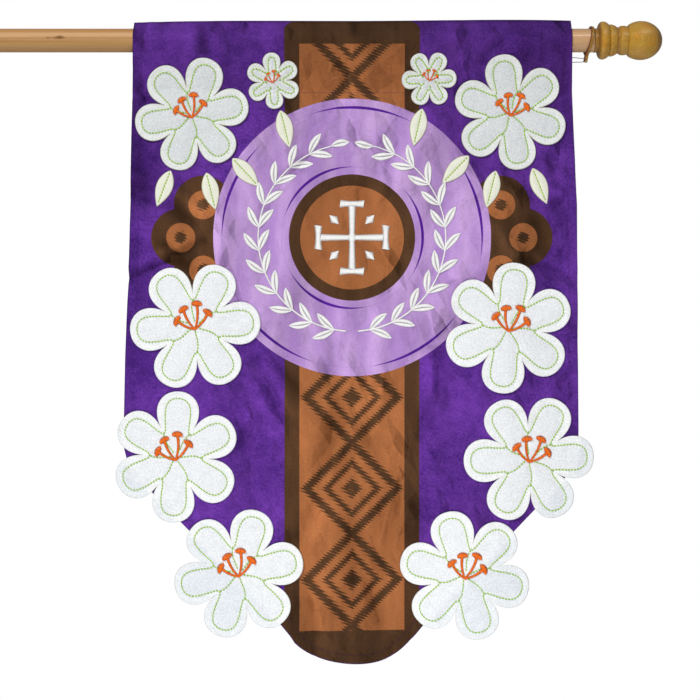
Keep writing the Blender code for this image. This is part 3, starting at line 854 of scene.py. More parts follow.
def wreath_leaves(side):
    """Base, direction and length of each leaf on one branch of the wreath."""
    start, end = math.radians(WREATH_START), math.radians(WREATH_END)
    leaves = []
    for n in range(WREATH_PAIRS):
        angle = start + (end - start) * n / WREATH_PAIRS
        forward = angle if side > 0 else math.pi - angle
        for lean in (-WREATH_LEAN, WREATH_LEAN):
            leaves.append((wreath_point(side * angle), forward + lean, WREATH_LEAF))
    tip = end if side > 0 else math.pi - end
    leaves.append((wreath_point(side * end), tip, WREATH_LEAF * WREATH_TIP_SHARE))
    return leaves


# Surfaces that every piece lies on


def drawn_creases():
    """Short creases that spring from the embroidery, where its dense stitches draw the cloth in."""
    draw = np.random.default_rng(DRAWN_SEED)
    table = []

    def spring(first, angle, ranges):
        reach, width, rise = (draw.uniform(*limits) for limits in ranges)
        table.append((*first, *(first + heading(angle)[0] * reach), width, rise))

    for side in (-1, 1):
        for base, direction, length in wreath_leaves(side):
            if draw.uniform() < WREATH_CREASE_GAPS:
                continue
            angle = direction + draw.uniform(-WREATH_CREASE_SWAY, WREATH_CREASE_SWAY)
            first = base + heading(direction)[0] * length * WREATH_CREASE_START
            spring(first, angle, WREATH_CREASE_RANGES)
    for n in range(BOSS_CREASES):
        angle = math.tau * (n + draw.uniform(-BOSS_CREASE_SWAY, BOSS_CREASE_SWAY)) / BOSS_CREASES
        first = np.array([0.0, CROSS_Z]) + heading(angle)[0] * draw.uniform(*BOSS_CREASE_START)
        spring(first, angle, BOSS_CREASE_RANGES)
    return tuple(table)


def puckers(x, z, gap):
    """Small ripples where the cloth is drawn in round the appliques and the wreath."""
    (quick_x, sway_x, slow_z), (quick_z, sway_z, slow_x) = PUCKER_WAVES
    ripple = np.sin(quick_x * x + sway_x * np.sin(slow_z * z))
    ripple = ripple * np.cos(quick_z * z + sway_z * np.sin(slow_x * x))
    near = np.exp(-np.clip(gap, 0.0, 1.0) / PUCKER_REACH)
    from_wreath = np.hypot(x, z - CROSS_Z) - WREATH_RADIUS
    round_wreath = np.exp(-((from_wreath / WREATH_PUCKER_REACH) ** 2))
    return PUCKER_RISE * ripple * np.maximum(near, WREATH_PUCKER_SHARE * round_wreath)


DRAWN_CREASES = drawn_creases()


def crease_height(x, z):
    """How far fine creases and puckers stand out of the drape. They fade out under the appliques."""
    gap = gap_to_appliques(x, z)
    free = smooth_step(gap / CREASE_FADE)
    sleeve = smooth_step((z - SEAM_Z) / SEAM_FADE)
    share = free * (1.0 - (1.0 - SLEEVE_CREASE_SHARE) * sleeve)
    creased = CREASE_GAIN * line_rise(ALL_CREASES, x, z, CREASE_SHARPNESS)
    creased = creased + line_rise(DRAWN_CREASES, x, z, CREASE_SHARPNESS)
    return share * (creased + puckers(x, z, gap))


def cloth_middle(x, z):
    """Depth of the section's middle: the drape with its creases and puckers, clear of the pole."""
    over_pole = smooth_step((z - OVER_POLE_Z) / OVER_POLE_FADE)
    deepest = DEEPEST_TROUGH + (OVER_POLE_TROUGH - DEEPEST_TROUGH) * over_pole
    return drape(x, z) - np.maximum(crease_height(x, z), -deepest)


def cloth_front(x, z, look):
    """Depth of the cloth's front face."""
    return cloth_middle(x, z) - layer_offset(z) - look.cloth.thickness / 2


def applique_back(x, z, look):
    """Depth of the back face of what is sewn to the front, which follows the drape beyond it too."""
    return drape(x, z) - layer_offset(z) - look.cloth.thickness / 2 - APPLIQUE_LIFT


# Meshes from grids of points


def place(name, points, faces, flat, marks, finish):
    """A mesh object from points and faces, with each point's place on the flat cloth and its marks."""
    mesh = bpy.data.meshes.new(name)
    mesh.from_pydata(points.tolist(), [], faces)
    corner = np.zeros(len(mesh.loops), dtype=np.int32)
    mesh.loops.foreach_get("vertex_index", corner)
    layer = mesh.uv_layers.new(name="flat")
    layer.data.foreach_set("uv", flat[corner].astype(np.float32).ravel())
    for mark, values in marks.items():
        made = mesh.attributes.new(mark, "FLOAT", "POINT")
        made.data.foreach_set("value", np.asarray(values, dtype=np.float32))
    mesh.materials.append(finish)
    piece = bpy.data.objects.new(name, mesh)
    bpy.context.scene.collection.objects.link(piece)
    smooth(piece)
    return piece


def select_only(piece=None):
    bpy.ops.object.select_all(action="DESELECT")
    if piece:
        piece.select_set(True)
        bpy.context.view_layer.objects.active = piece


def smooth(piece):
    select_only(piece)
    bpy.ops.object.shade_smooth_by_angle(angle=SMOOTH_ANGLE)
    piece.select_set(False)


def quads(corners):
    """Faces of a grid of point numbers, wound so that they face the front."""
    stacked = np.stack([corners[:-1, :-1], corners[:-1, 1:], corners[1:, 1:], corners[1:, :-1]], axis=-1)
    return stacked.reshape(-1, 4)


def closed_sheet(name, front, back, flat, marks, finish):
    """A closed thin piece between two like grids of points, joined round their rim."""
    rows, columns = front.shape[:2]
    count = rows * columns
    number = np.arange(count).reshape(rows, columns)
    rim = np.concatenate([number[0, :-1], number[:-1, -1], number[-1, :0:-1], number[:0:-1, 0]])
    following = np.roll(rim, -1)
    edge = np.stack([rim, rim + count, following + count, following], axis=-1)
    faces = np.concatenate([quads(number), quads(number)[:, ::-1] + count, edge])
    points = np.concatenate([front.reshape(-1, 3), back.reshape(-1, 3)])
    laid = np.concatenate([flat.reshape(-1, 2)] * 2)
    sides = {mark: np.concatenate([one.ravel(), other.ravel()]) for mark, (one, other) in marks.items()}
    return place(name, points, faces.tolist(), laid, sides, finish)


def closed_disc(name, rings, centres, flat, flat_centre, marks, finish):
    """A closed piece from rings of points, which run from the front's middle to the back's."""
    count, around = rings.shape[:2]
    number = np.arange(count * around).reshape(count, around)
    turned = np.concatenate([number, number[:, :1]], axis=1)
    faces = quads(turned.T).tolist()
    first, last = count * around, count * around + 1
    for one, other in zip(turned[0, :-1], turned[0, 1:]):
        faces.append([first, int(one), int(other)])
    for one, other in zip(turned[-1, :-1], turned[-1, 1:]):
        faces.append([last, int(other), int(one)])
    points = np.concatenate([rings.reshape(-1, 3), centres])
    laid = np.concatenate([flat.reshape(-1, 2), flat_centre, flat_centre])
    values = {mark: np.concatenate([given.ravel(), [given.max()] * 2]) for mark, given in marks.items()}
    return place(name, points, faces, laid, values, finish)


def threads(name, paths, width, height, finish, sides):
    """Many short threads in one mesh, each following its own few points and narrowing at both ends."""
    count, steps = paths.shape[:2]
    along = np.gradient(paths, axis=1)
    along /= np.linalg.norm(along, axis=-1, keepdims=True)
    beside = np.cross(along, np.array([0.0, -1.0, 0.0]))
    beside /= np.linalg.norm(beside, axis=-1, keepdims=True)
    rise = np.cross(beside, along)
    taper = np.full(steps, 1.0)
    taper[[0, -1]] = THREAD_END
    angle = math.tau * (np.arange(sides) + 0.5) / sides
    swing = taper[:, None] * np.cos(angle)
    lift = taper[:, None] * np.sin(angle)
    rings = paths[:, :, None, :] + width / 2 * swing[None, :, :, None] * beside[:, :, None, :]
    rings = rings + height / 2 * lift[None, :, :, None] * rise[:, :, None, :]
    number = np.arange(count * steps * sides).reshape(count, steps, sides)
    turned = np.concatenate([number, number[:, :, :1]], axis=2)
    ahead = [turned[:, :-1, :-1], turned[:, :-1, 1:], turned[:, 1:, 1:], turned[:, 1:, :-1]]
    faces = np.stack(ahead, axis=-1).reshape(-1, 4).tolist()
    faces += number[:, 0, ::-1].tolist() + number[:, -1, :].tolist()
    reach = np.linalg.norm(np.diff(paths, axis=1), axis=-1).cumsum(axis=1)
    reach = np.concatenate([np.zeros((count, 1)), reach], axis=1)
    shift = THREAD_SHIFT * np.arange(count)
    u = np.broadcast_to((reach + shift[:, None])[:, :, None], rings.shape[:3])
    v = np.broadcast_to(np.arange(sides) / sides, rings.shape[:3])
    flat = np.stack([u, v], axis=-1).reshape(-1, 2)
    shade = np.repeat(np.mod(SHADE_STEP * np.arange(count), 1.0), steps * sides)
    # How near each point lies to its thread's ends, for the painted shade at the stitch holes
    end = np.tile(np.repeat(np.abs(np.linspace(-1.0, 1.0, steps)), sides), count)
    return place(name, rings.reshape(-1, 3), faces, flat, {"shade": shade, "end": end}, finish)


def fit_threads(name, paths, width, finish, flatness=1.0, sides=4):
    """One piece from all the threads of a kind."""
    fit(threads(name, np.concatenate(paths), width, width * flatness, finish, sides))


def reach_along(line):
    """How far along a line of points each of them lies."""
    return np.concatenate([[0.0], np.linalg.norm(np.diff(line, axis=0), axis=1).cumsum()])


def walk(line, places):
    """Points at given distances along a line of points."""
    reach = reach_along(line)
    return np.stack([np.interp(places, reach, line[:, n]) for n in range(line.shape[1])], axis=-1)


def line_length(line):
    return float(np.linalg.norm(np.diff(line, axis=0), axis=1).sum())


def running_stitches(line, length, pitch, surface, stand, steps=4):
    """Paths of stitches laid end to end along a line, low arches that dip into the cloth at their ends."""
    count = max(1, int(line_length(line) / pitch))
    even = line_length(line) / count
    middle = even * (np.arange(count) + 0.5)
    share = np.linspace(-1.0, 1.0, steps)
    spots = walk(line, middle[:, None] + length / 2 * share)
    x, z = spots[..., 0], spots[..., 1]
    return on_banner(x, surface(x, z) - stand * (1.0 - RUNNING_DIP * share * share), z)


def satin_stitches(spine, half_width, surface, stand, slant=0.0, split=False, steps=4):
    """Paths of threads laid side by side across a spine. Split, they meet along it, as in a sewn leaf."""
    count = max(2, int(line_length(spine) / SATIN_PITCH))
    places = line_length(spine) * (np.arange(count) + 0.5) / count
    middle = walk(spine, places)
    step = line_length(spine) / count / 2
    ahead = walk(spine, places + step) - walk(spine, places - step)
    along = ahead / np.linalg.norm(ahead, axis=1, keepdims=True)
    aside = np.stack([-along[:, 1], along[:, 0]], axis=1)
    width = half_width(places / line_length(spine))
    paths = []
    for first, last in (((0.03, 1.0), (-0.03, -1.0)) if split else ((-1.0, 1.0),)):
        share = np.linspace(first, last, steps)
        lean = slant * (np.abs(share) if split else share)
        reach = share[None, :, None] * aside[:, None, :] + lean[None, :, None] * along[:, None, :]
        spots = middle[:, None, :] + width[:, None, None] * reach
        way = np.linspace(-1.0, 1.0, steps)
        arch = stand * np.sqrt(np.maximum(1.0 - SATIN_ARCH * way * way, 0.0))
        x, z = spots[..., 0], spots[..., 1]
        paths.append(on_banner(x, surface(x, z) - arch, z))
    return np.concatenate(paths)


def fit(piece, replaced=()):
    """Hangs a finished piece on the part's body, in the place of the solids that it stands for."""
    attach(piece, BODY)
    if replaced:
        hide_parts(*replaced)
    return piece


# Materials


class Amount:
    """A number that a material's nodes work out. It adds and multiplies as a plain number does."""

    def __init__(self, brush, socket):
        self.brush = brush
        self.socket = socket

    def __add__(self, other):
        return self.brush.maths("ADD", self, other)

    def __sub__(self, other):
        return self.brush.maths("SUBTRACT", self, other)

    def __rsub__(self, other):
        return self.brush.maths("SUBTRACT", other, self)

    def __mul__(self, other):
        return self.brush.maths("MULTIPLY", self, other)

    def __truediv__(self, other):
        return self.brush.maths("DIVIDE", self, other)

    def __neg__(self):
        return self.brush.maths("SUBTRACT", 0.0, self)

    def __abs__(self):
        return self.brush.maths("ABSOLUTE", self)

    __radd__ = __add__
    __rmul__ = __mul__


class Brush:
    """Lays out one material's nodes."""

    def __init__(self, name):
        self.made = bpy.data.materials.new(name)
        self.made.use_nodes = True
        self.tree = self.made.node_tree
        self.shader = self.tree.nodes["Principled BSDF"]

    def node(self, kind, **settings):
        made = self.tree.nodes.new(kind)
        for setting, value in settings.items():
            setattr(made, setting, value)
        return made

    def join(self, value, socket):
        if isinstance(value, Amount):
            value = value.socket
        if isinstance(value, bpy.types.NodeSocket):
            self.tree.links.new(value, socket)
        elif socket.type == "RGBA":
            socket.default_value = (*value, 1.0)
        else:
            socket.default_value = value

    def maths(self, operation, *values, clamp=False):
        node = self.node("ShaderNodeMath", operation=operation, use_clamp=clamp)
        for value, socket in zip(values, node.inputs):
            self.join(value, socket)
        return Amount(self, node.outputs[0])

    def least(self, first, *others):
        for other in others:
            first = self.maths("MINIMUM", first, other)
        return first

    def most(self, first, *others):
        for other in others:
            first = self.maths("MAXIMUM", first, other)
        return first

    def span(self, across, up):
        return self.maths("SQRT", across * across + up * up)

    def within(self, distance, soft=0.0006):
        """1 where a distance is below 0 and 0 where it is above, with a soft edge."""
        return self.maths("SUBTRACT", 0.5, distance / soft, clamp=True)

    def zigzag(self, amount):
        """0 to 1 and back to 0 as the amount grows by 1."""
        return abs(self.maths("FRACT", amount) * 2.0 - 1.0)

    def flat(self):
        return self.node("ShaderNodeUVMap", uv_map="flat").outputs["UV"]

    def object_place(self):
        return self.node("ShaderNodeTexCoord").outputs["Object"]

    def mark(self, name):
        return Amount(self, self.node("ShaderNodeAttribute", attribute_name=name).outputs["Fac"])

    def parts(self, vector):
        node = self.node("ShaderNodeSeparateXYZ")
        self.join(vector, node.inputs[0])
        return [Amount(self, socket) for socket in node.outputs]

    def streaks(self, vector, scale, detail, roughness=0.5, turn=0.0):
        """Drawn-out noise: it has its own scale along each axis and is turned about the third."""
        node = self.node("ShaderNodeMapping")
        self.join(vector, node.inputs["Vector"])
        node.inputs["Rotation"].default_value = (0.0, 0.0, turn)
        node.inputs["Scale"].default_value = scale
        return self.noise(node.outputs[0], 1.0, detail, roughness)

    def noise(self, vector, scale, detail=3.0, roughness=0.5):
        node = self.node("ShaderNodeTexNoise")
        self.join(vector, node.inputs["Vector"])
        node.inputs["Scale"].default_value = scale
        node.inputs["Detail"].default_value = detail
        node.inputs["Roughness"].default_value = roughness
        return Amount(self, node.outputs["Fac"])

    def sharpen(self, amount, low, high):
        """0 below low, 1 above high."""
        return self.maths("MULTIPLY", amount - low, 1.0 / (high - low), clamp=True)

    def blend(self, share, colour, other, way="MIX"):
        node = self.node("ShaderNodeMix", data_type="RGBA", blend_type=way)
        self.join(share, node.inputs["Factor"])
        self.join(colour, node.inputs[6])
        self.join(other, node.inputs[7])
        return node.outputs[2]

    def shaded(self, colour, amount):
        """A colour made darker or lighter by an amount near 1."""
        node = self.node("ShaderNodeVectorMath", operation="SCALE")
        self.join(colour, node.inputs[0])
        self.join(amount, node.inputs["Scale"])
        return node.outputs[0]

    def relief(self, height, distance, strength=1.0):
        node = self.node("ShaderNodeBump")
        self.join(height, node.inputs["Height"])
        node.inputs["Distance"].default_value = distance
        node.inputs["Strength"].default_value = strength
        return node.outputs[0]

    def finish(self, colour, roughness, relief=None, **constants):
        self.join(colour, self.shader.inputs["Base Color"])
        self.join(roughness, self.shader.inputs["Roughness"])
        if relief is not None:
            self.join(relief, self.shader.inputs["Normal"])
        for name, value in constants.items():
            self.shader.inputs[name.replace("_", " ")].default_value = value
        return self.made


def printed_cloth(look):
    """Woven polyester with the printed cross, its roundel and the mottled ground, and painted light and
    shade: sheen, creases, edges and the sleeve's crest.
    """
    brush = Brush("printed_cloth")
    flat = brush.flat()
    x, z, _ = brush.parts(flat)
    side, rise = abs(x), z - CROSS_Z
    level = abs(rise)
    mottle = brush.noise(flat, 9.0, 2.0) * 0.34 + brush.noise(flat, 52.0, 5.0, 0.66) * 0.34
    mottle = mottle + brush.noise(flat, 260.0, 2.0, 0.6) * 0.32
    # Deeper purple towards the sides below the sleeve, most on the left: partly the print's mottle, partly
    # painted shade where the cloth turns away from the light
    by_side = 1.0 - brush.sharpen(CURL_HALF_WIDTH - side, 0.005, 0.090)
    mottle = mottle - by_side * brush.sharpen(-0.09 - z, 0.0, 0.05) * (0.035 - x * 0.08)
    grain = brush.noise(flat, 400.0, 2.0, 0.7)
    brushed = brush.streaks(flat, (90.0, 7.0, 1.0), 3.0)
    # Painted sheen: soft streaks of painted highlight and shade, standing in for the satin-like polyester
    # catching the light on its folds
    sheen = brush.streaks(flat, (26.0, 6.0, 1.0), 2.0, turn=0.12)
    ground = brush.blend(brush.sharpen(mottle, 0.38, 0.61), look.ground_deep, look.ground)
    beyond = side - SHAFT_HALF + CORNER_ROUNDING
    above = z - crest_length() + CORNER_ROUNDING
    past_corner = brush.span(brush.most(beyond, 0.0), brush.most(above, 0.0))
    shaft = past_corner + brush.least(brush.most(beyond, above), 0.0) - CORNER_ROUNDING
    arm = brush.most(side - ARM_REACH, level - ARM_HALF)
    bud = brush.span(side - BUD_X, level - BUD_RISE) - BUD_RADIUS
    bud_end = brush.span(side - BUD_END_X, level) - BUD_RADIUS
    arms = brush.least(arm, bud, bud_end)
    cross = brush.least(shaft, arms)
    foot_band = z - FOOT_BAND_Z
    edge = brush.mark("edge")
    brown_area = brush.most(brush.least(cross, foot_band), FOOT_HEM_LINE - edge)
    # Painted shade in the creases' troughs and painted light on their ridges, in the brown border too
    trough = brush.mark("trough")
    # Border streaks: brush marks and weave grain, with painted sheen
    streaked = 0.06 + brushed * 0.44 + grain * 0.50 + sheen * 0.96
    border = brush.shaded(look.border, streaked * (1.0 - trough * 0.20))
    colour = brush.blend(brush.within(brown_area), ground, border)
    panel_edge = brush.most(cross + BORDER, z - TAN_TOP_Z, TAN_FOOT_Z - z)
    panel = brush.shaded(look.panel, 0.72 + brushed * 0.32 + grain * 0.24)
    panel = brush.blend(cross_figure(brush, x, z, rise, arms), panel, border)
    colour = brush.blend(brush.within(panel_edge), colour, panel)
    colour = brush.blend(*roundel_figure(brush, look, flat, x, rise, colour, border))
    hem = brush.within(edge - look.hem_width, 0.0008)
    # Painted shade in a thin line along the cloth's edges, where the cloth turns away
    rim = brush.within(edge - 0.0011, 0.0010)
    by_stitches = 1.0 - brush.sharpen(abs(edge - look.hem_width), 0.001, 0.010)
    gathers = brush.noise(flat, 190.0, 2.0, 0.5)
    # The ground's wash: weave grain with painted sheen
    wash = (0.62 + grain * 0.48 + sheen * 0.28) * (1.0 - hem * 0.07) * (1.0 - brush.mark("back") * 0.10)
    # Painted shade along the thin edge line and along the top of the sleeve, where the cloth turns away from
    # the light
    wash = wash * (1.0 - rim * 0.35) * (1.0 - brush.mark("crest") * 0.55)
    # Painted crease shade and light, weaker on the tan panel and the lilac roundel
    pale = brush.most(brush.within(panel_edge), brush.within(brush.span(x, rise) - ROUNDEL))
    wash = wash * (1.0 - trough * (0.26 - pale * 0.10))
    # Painted shade in the gathers along the hem stitches; the same gathers also give a bump below
    wash = wash * (1.0 - by_stitches * brush.sharpen(gathers, 0.58, 0.70) * 0.32)
    # Painted light and shade over the whole cloth
    wash = wash * painted_sheen_over(brush, flat, x, z)
    wrinkles = cloth_wrinkles(brush, flat, x, z) + by_stitches * gathers * 0.0014 + grain * 0.00005
    relief = brush.relief(wrinkles, 1.0)
    return brush.finish(brush.shaded(colour, wash), 0.50 + grain * 0.12, relief, Specular_IOR_Level=0.12)


def painted_sheen_over(brush, flat, x, z):
    """Painted sheen: lighter where the cloth hangs free, duller by the sleeve, the upper right, the upper
    left and the foot, in broad painted patches.
    """
    free = brush.sharpen(-z, 0.02, 0.22) * (1.0 - brush.sharpen(-z, 0.80, 0.93) * 0.86)
    left = brush.sharpen(-x, 0.22, 0.30) * (1.0 - brush.sharpen(-z, 0.24, 0.30))
    right = brush.sharpen(x, 0.02, 0.30)
    broad = brush.streaks(flat, (15.0, 5.0, 1.0), 2.0, turn=0.35)
    patches = 0.84 + brush.sharpen(broad, 0.36, 0.64) * 0.32
    sides = (1.0 - left * free * 0.38) * (1.0 - right * (0.32 - free * 0.20))
    return (0.90 + free * 0.20) * sides * patches


def cloth_wrinkles(brush, flat, x, z):
    """Height of wrinkles finer than the mesh: creased facets, crumples and the weave."""
    warp = brush.noise(flat, 7.0, 2.0) * 0.110
    facets = 0.0
    for turn, length, slope, bend in FACET_WAVES:
        along = x * math.cos(turn) + z * math.sin(turn) + warp * bend
        facets = facets + brush.zigzag(along / length) * (length / 2 * slope)
    facets = facets * (0.40 + brush.sharpen(brush.noise(flat, 5.5, 2.0), 0.42, 0.62) * 0.60)
    crumple = abs(brush.noise(flat, 52.0, 2.0, 0.5) - 0.5)
    return facets + crumple * 0.0038 + weave_height(brush, x, z) * 0.00004


def weave_height(brush, x, z, pitch=0.00052):
    """Plain weave: threads that pass over and under each other."""
    over = brush.maths("SINE", x * (math.pi / pitch))
    under = brush.maths("SINE", z * (math.pi / pitch))
    return abs(over * under)


def cross_figure(brush, x, z, rise, arms):
    """Hatched strokes on the tan: diamonds down the shaft and a line that follows the arms' buds."""
    hatch = brush.zigzag((x * 0.36 + z * 0.94) / HATCH_PITCH)
    hand = brush.streaks(brush.flat(), (30.0, 120.0, 1.0), 2.0)
    uneven = (hatch - 0.5) * HATCH_DEPTH * (0.35 + hand * 1.3)
    half = DIAMOND / 2
    down = brush.zigzag(rise / DIAMOND + 0.25) * half
    off = abs(x) + down - half
    diamond = abs(off) * 0.707 - DIAMOND_STROKE
    inner = abs(off + 0.032) * 0.707 - DIAMOND_STROKE * 0.70
    heart = off * 0.707 + 0.040
    chain = brush.least(diamond, inner, heart) + uneven
    line = arms + 0.0380 + uneven * 0.7
    beside = brush.within(SHAFT_HALF - abs(x), 0.001)
    missed = brush.sharpen(hatch, 0.80, 0.92) * brush.sharpen(hand, 0.53, 0.60)
    drawn = brush.within(chain, 0.0009) * (1.0 - beside) + brush.within(line, 0.0009) * beside
    return drawn * (1.0 - missed * 0.75)


def roundel_figure(brush, look, flat, x, rise, under, border):
    """The lilac roundel with its brush strokes, and the tan boss in its middle."""
    reach = brush.span(x, rise)
    angle = brush.maths("ARCTAN2", rise, x)
    streak = brush.streaks(flat, (26.0, 9.0, 1.0), 3.0, turn=0.6)
    lilac = brush.blend(brush.sharpen(streak, 0.36, 0.64), look.roundel_deep, look.roundel)
    for radius, strokes, start in ((OUTER_ACCENT, 5.0, 0.4), (INNER_ACCENT, 3.0, 1.3)):
        swell = brush.maths("SINE", angle * strokes + start)
        width = brush.most(swell + 0.45, 0.0) * 0.00155
        lilac = brush.blend(brush.within(abs(reach - radius) - width), lilac, look.accent)
    boss = brush.shaded(look.panel, 0.90 + streak * 0.2)
    lilac = brush.blend(brush.within(reach - BOSS), lilac, border)
    lilac = brush.blend(brush.within(reach - (BOSS - BOSS_BORDER)), lilac, boss)
    return brush.within(reach - ROUNDEL), under, lilac


def white_felt(look):
    """Pressed felt: short fibres lying every way, a faint blue-grey mottle, a tinted cut edge, and a greyer
    painted shade on the blossoms near the sleeve.
    """
    brush = Brush("white_felt")
    flat = brush.flat()
    cloud = brush.noise(flat, 95.0, 5.0, 0.62)
    fibre = brush.streaks(flat, (620.0, 150.0, 1.0), 3.0, 0.7, turn=0.7)
    crossed = brush.streaks(flat, (140.0, 650.0, 1.0), 3.0, 0.7, turn=0.3)
    edge, lower = brush.mark("edge"), brush.mark("lower")
    # Painted light: the blossoms below take the brighter white, those near the sleeve a greyer painted shade
    colour = brush.blend(lower, look.upper, look.lower)
    inside = brush.sharpen(edge, look.stitch_inset - 0.0010, look.stitch_inset + 0.0004)
    colour = brush.blend(inside * (1.0 - lower * 0.45), colour, look.inside, "MULTIPLY")
    colour = brush.blend(brush.mark("beyond"), colour, look.beyond, "MULTIPLY")
    speck = brush.noise(flat, 340.0, 2.0, 0.7)
    blot = brush.noise(flat, 60.0, 3.0, 0.6)
    nap = cloud * 0.16 + fibre * 0.08 + crossed * 0.08 + speck * 0.60 + blot * 0.18
    colour = brush.shaded(colour, nap + 0.450)
    rim = brush.within(edge - 0.0009, 0.0010) * (0.75 - lower * 0.55)
    colour = brush.blend(rim, colour, look.cut_edge)
    relief = brush.relief(fibre * 0.00030 + crossed * 0.00030 + cloud * 0.00150, 1.0)
    return brush.finish(colour, 0.95, relief, Specular_IOR_Level=0.10)


def cream_satin(look):
    """Satin cloth with fine upright ribs and a tinted cut edge."""
    brush = Brush("cream_satin")
    flat = brush.flat()
    x = brush.parts(flat)[0]
    ribs = brush.maths("SINE", x * (math.tau / 0.0009)) * 0.5 + 0.5
    cloud = brush.noise(flat, 70.0, 4.0)
    colour = brush.shaded(look.satin, 0.89 + cloud * 0.16 + ribs * 0.02)
    rim = brush.within(brush.mark("edge") - 0.0010, 0.0009) * 0.8
    colour = brush.blend(rim, colour, look.cut_edge)
    relief = brush.relief(ribs * 0.00005 + cloud * 0.0007, 1.0)
    return brush.finish(colour, 0.42 + cloud * 0.12, relief, Specular_IOR_Level=0.35)


def twisted_thread(name, colour, end_shade_colour, roughness, twist, shine, uneven=0.12):
    """Thread of slanting plies. Its ends go down into the cloth, where a second colour paints shade at the
    stitch holes.
    """
    brush = Brush(name)
    u, v, _ = brush.parts(brush.flat())
    ply = brush.maths("SINE", (u / twist + v) * math.tau) * 0.5 + 0.5
    shade = brush.mark("shade")
    # Painted shade at the thread's ends, where it dips into the stitch holes
    tone = brush.blend(brush.sharpen(brush.mark("end"), 0.45, 1.0), colour, end_shade_colour)
    tone = brush.shaded(tone, 0.96 - uneven / 2 + shade * uneven + ply * 0.05)
    relief = brush.relief(ply, 0.00012, 0.8)
    return brush.finish(tone, roughness, relief, Specular_IOR_Level=shine)


# Printed cloth


def cloth_section(look):
    """Rows over the sleeve, from the seam over the crest and down to the allowance behind it.

    Gives each row's height, its depth from the section's middle and how far along the cloth it lies.
    """
    front = np.linspace(SEAM_Z, CREST_Z, FRONT_ROWS)[1:]
    turn = np.linspace(0.0, math.pi, TURN_ROWS)[1:-1]
    back = np.linspace(CREST_Z, SEAM_Z, BACK_ROWS)
    tail = np.linspace(SEAM_Z, SEAM_Z - SEAM_ALLOWANCE, TAIL_ROWS)[1:]
    fold = CLOTH_DEPTH / 2
    behind = look.cloth.thickness + LAYER_GAP
    heights = np.concatenate([front, CREST_Z + fold * np.sin(turn), back, tail])
    offsets = np.concatenate([
        -layer_offset(front),
        -fold * np.cos(turn),
        np.maximum(layer_offset(back), behind),
        np.full(len(tail), behind),
    ])
    steps = np.hypot(np.diff(heights, prepend=SEAM_Z), np.diff(offsets, prepend=0.0))
    return heights, offsets, SEAM_Z + steps.cumsum()


def crest_length():
    """How far along the cloth its crest lies, counted as the section's rows are."""
    heights = np.linspace(SEAM_Z, CREST_Z, FRONT_ROWS)
    steps = np.hypot(np.diff(heights), np.diff(-layer_offset(heights)))
    return SEAM_Z + float(steps.sum())


def spread(start, end, count, dense_start, dense_end):
    """Places from start to end, closer together where the embroidery draws the cloth in."""
    fine = np.linspace(start, end, 1201)
    middle, half = (dense_start + dense_end) / 2, (dense_end - dense_start) / 2
    weight = 1.0 + DENSE_GAIN * smooth_step((half + DENSE_FADE - np.abs(fine - middle)) / DENSE_FADE)
    reach = np.concatenate([[0.0], (weight[1:] + weight[:-1]).cumsum()])
    return np.interp(np.linspace(0.0, reach[-1], count), reach, fine)


def column_shares(look):
    """Places of the columns from 0 to 1, with closer ones at the hems' fold lines."""
    width = CURL_HALF_WIDTH * 2
    hem = look.cloth.hem_width
    near = np.array([*NEAR_EDGE, EDGE_TO_HEM, *(hem + away for away in NEAR_HEM)])
    count = look.cloth.columns - 2 * len(near) + 2
    inner = spread(near[-1], width - near[-1], count, width / 2 - DENSE_REACH, width / 2 + DENSE_REACH)
    return np.concatenate([near[:-1], inner, width - near[:-1][::-1]]) / width


def hanging_rows(low, look):
    """Heights of the rows from the lower edge up to the seam, closer ones at the foot's hem."""
    dense = CROSS_Z - DENSE_REACH, CROSS_Z + DENSE_REACH
    count = look.cloth.rows - len(NEAR_EDGE) + 1
    columns = []
    for foot in low:
        above = spread(foot + NEAR_EDGE[-1], SEAM_Z, count, *dense)
        columns.append(np.concatenate([foot + np.array(NEAR_EDGE[:-1]), above]))
    return np.stack(columns, axis=1)


def surface_normals(points):
    across = np.gradient(points, axis=1)
    up = np.gradient(points, axis=0)
    normal = np.cross(across, up)
    return normal / np.linalg.norm(normal, axis=-1, keepdims=True)


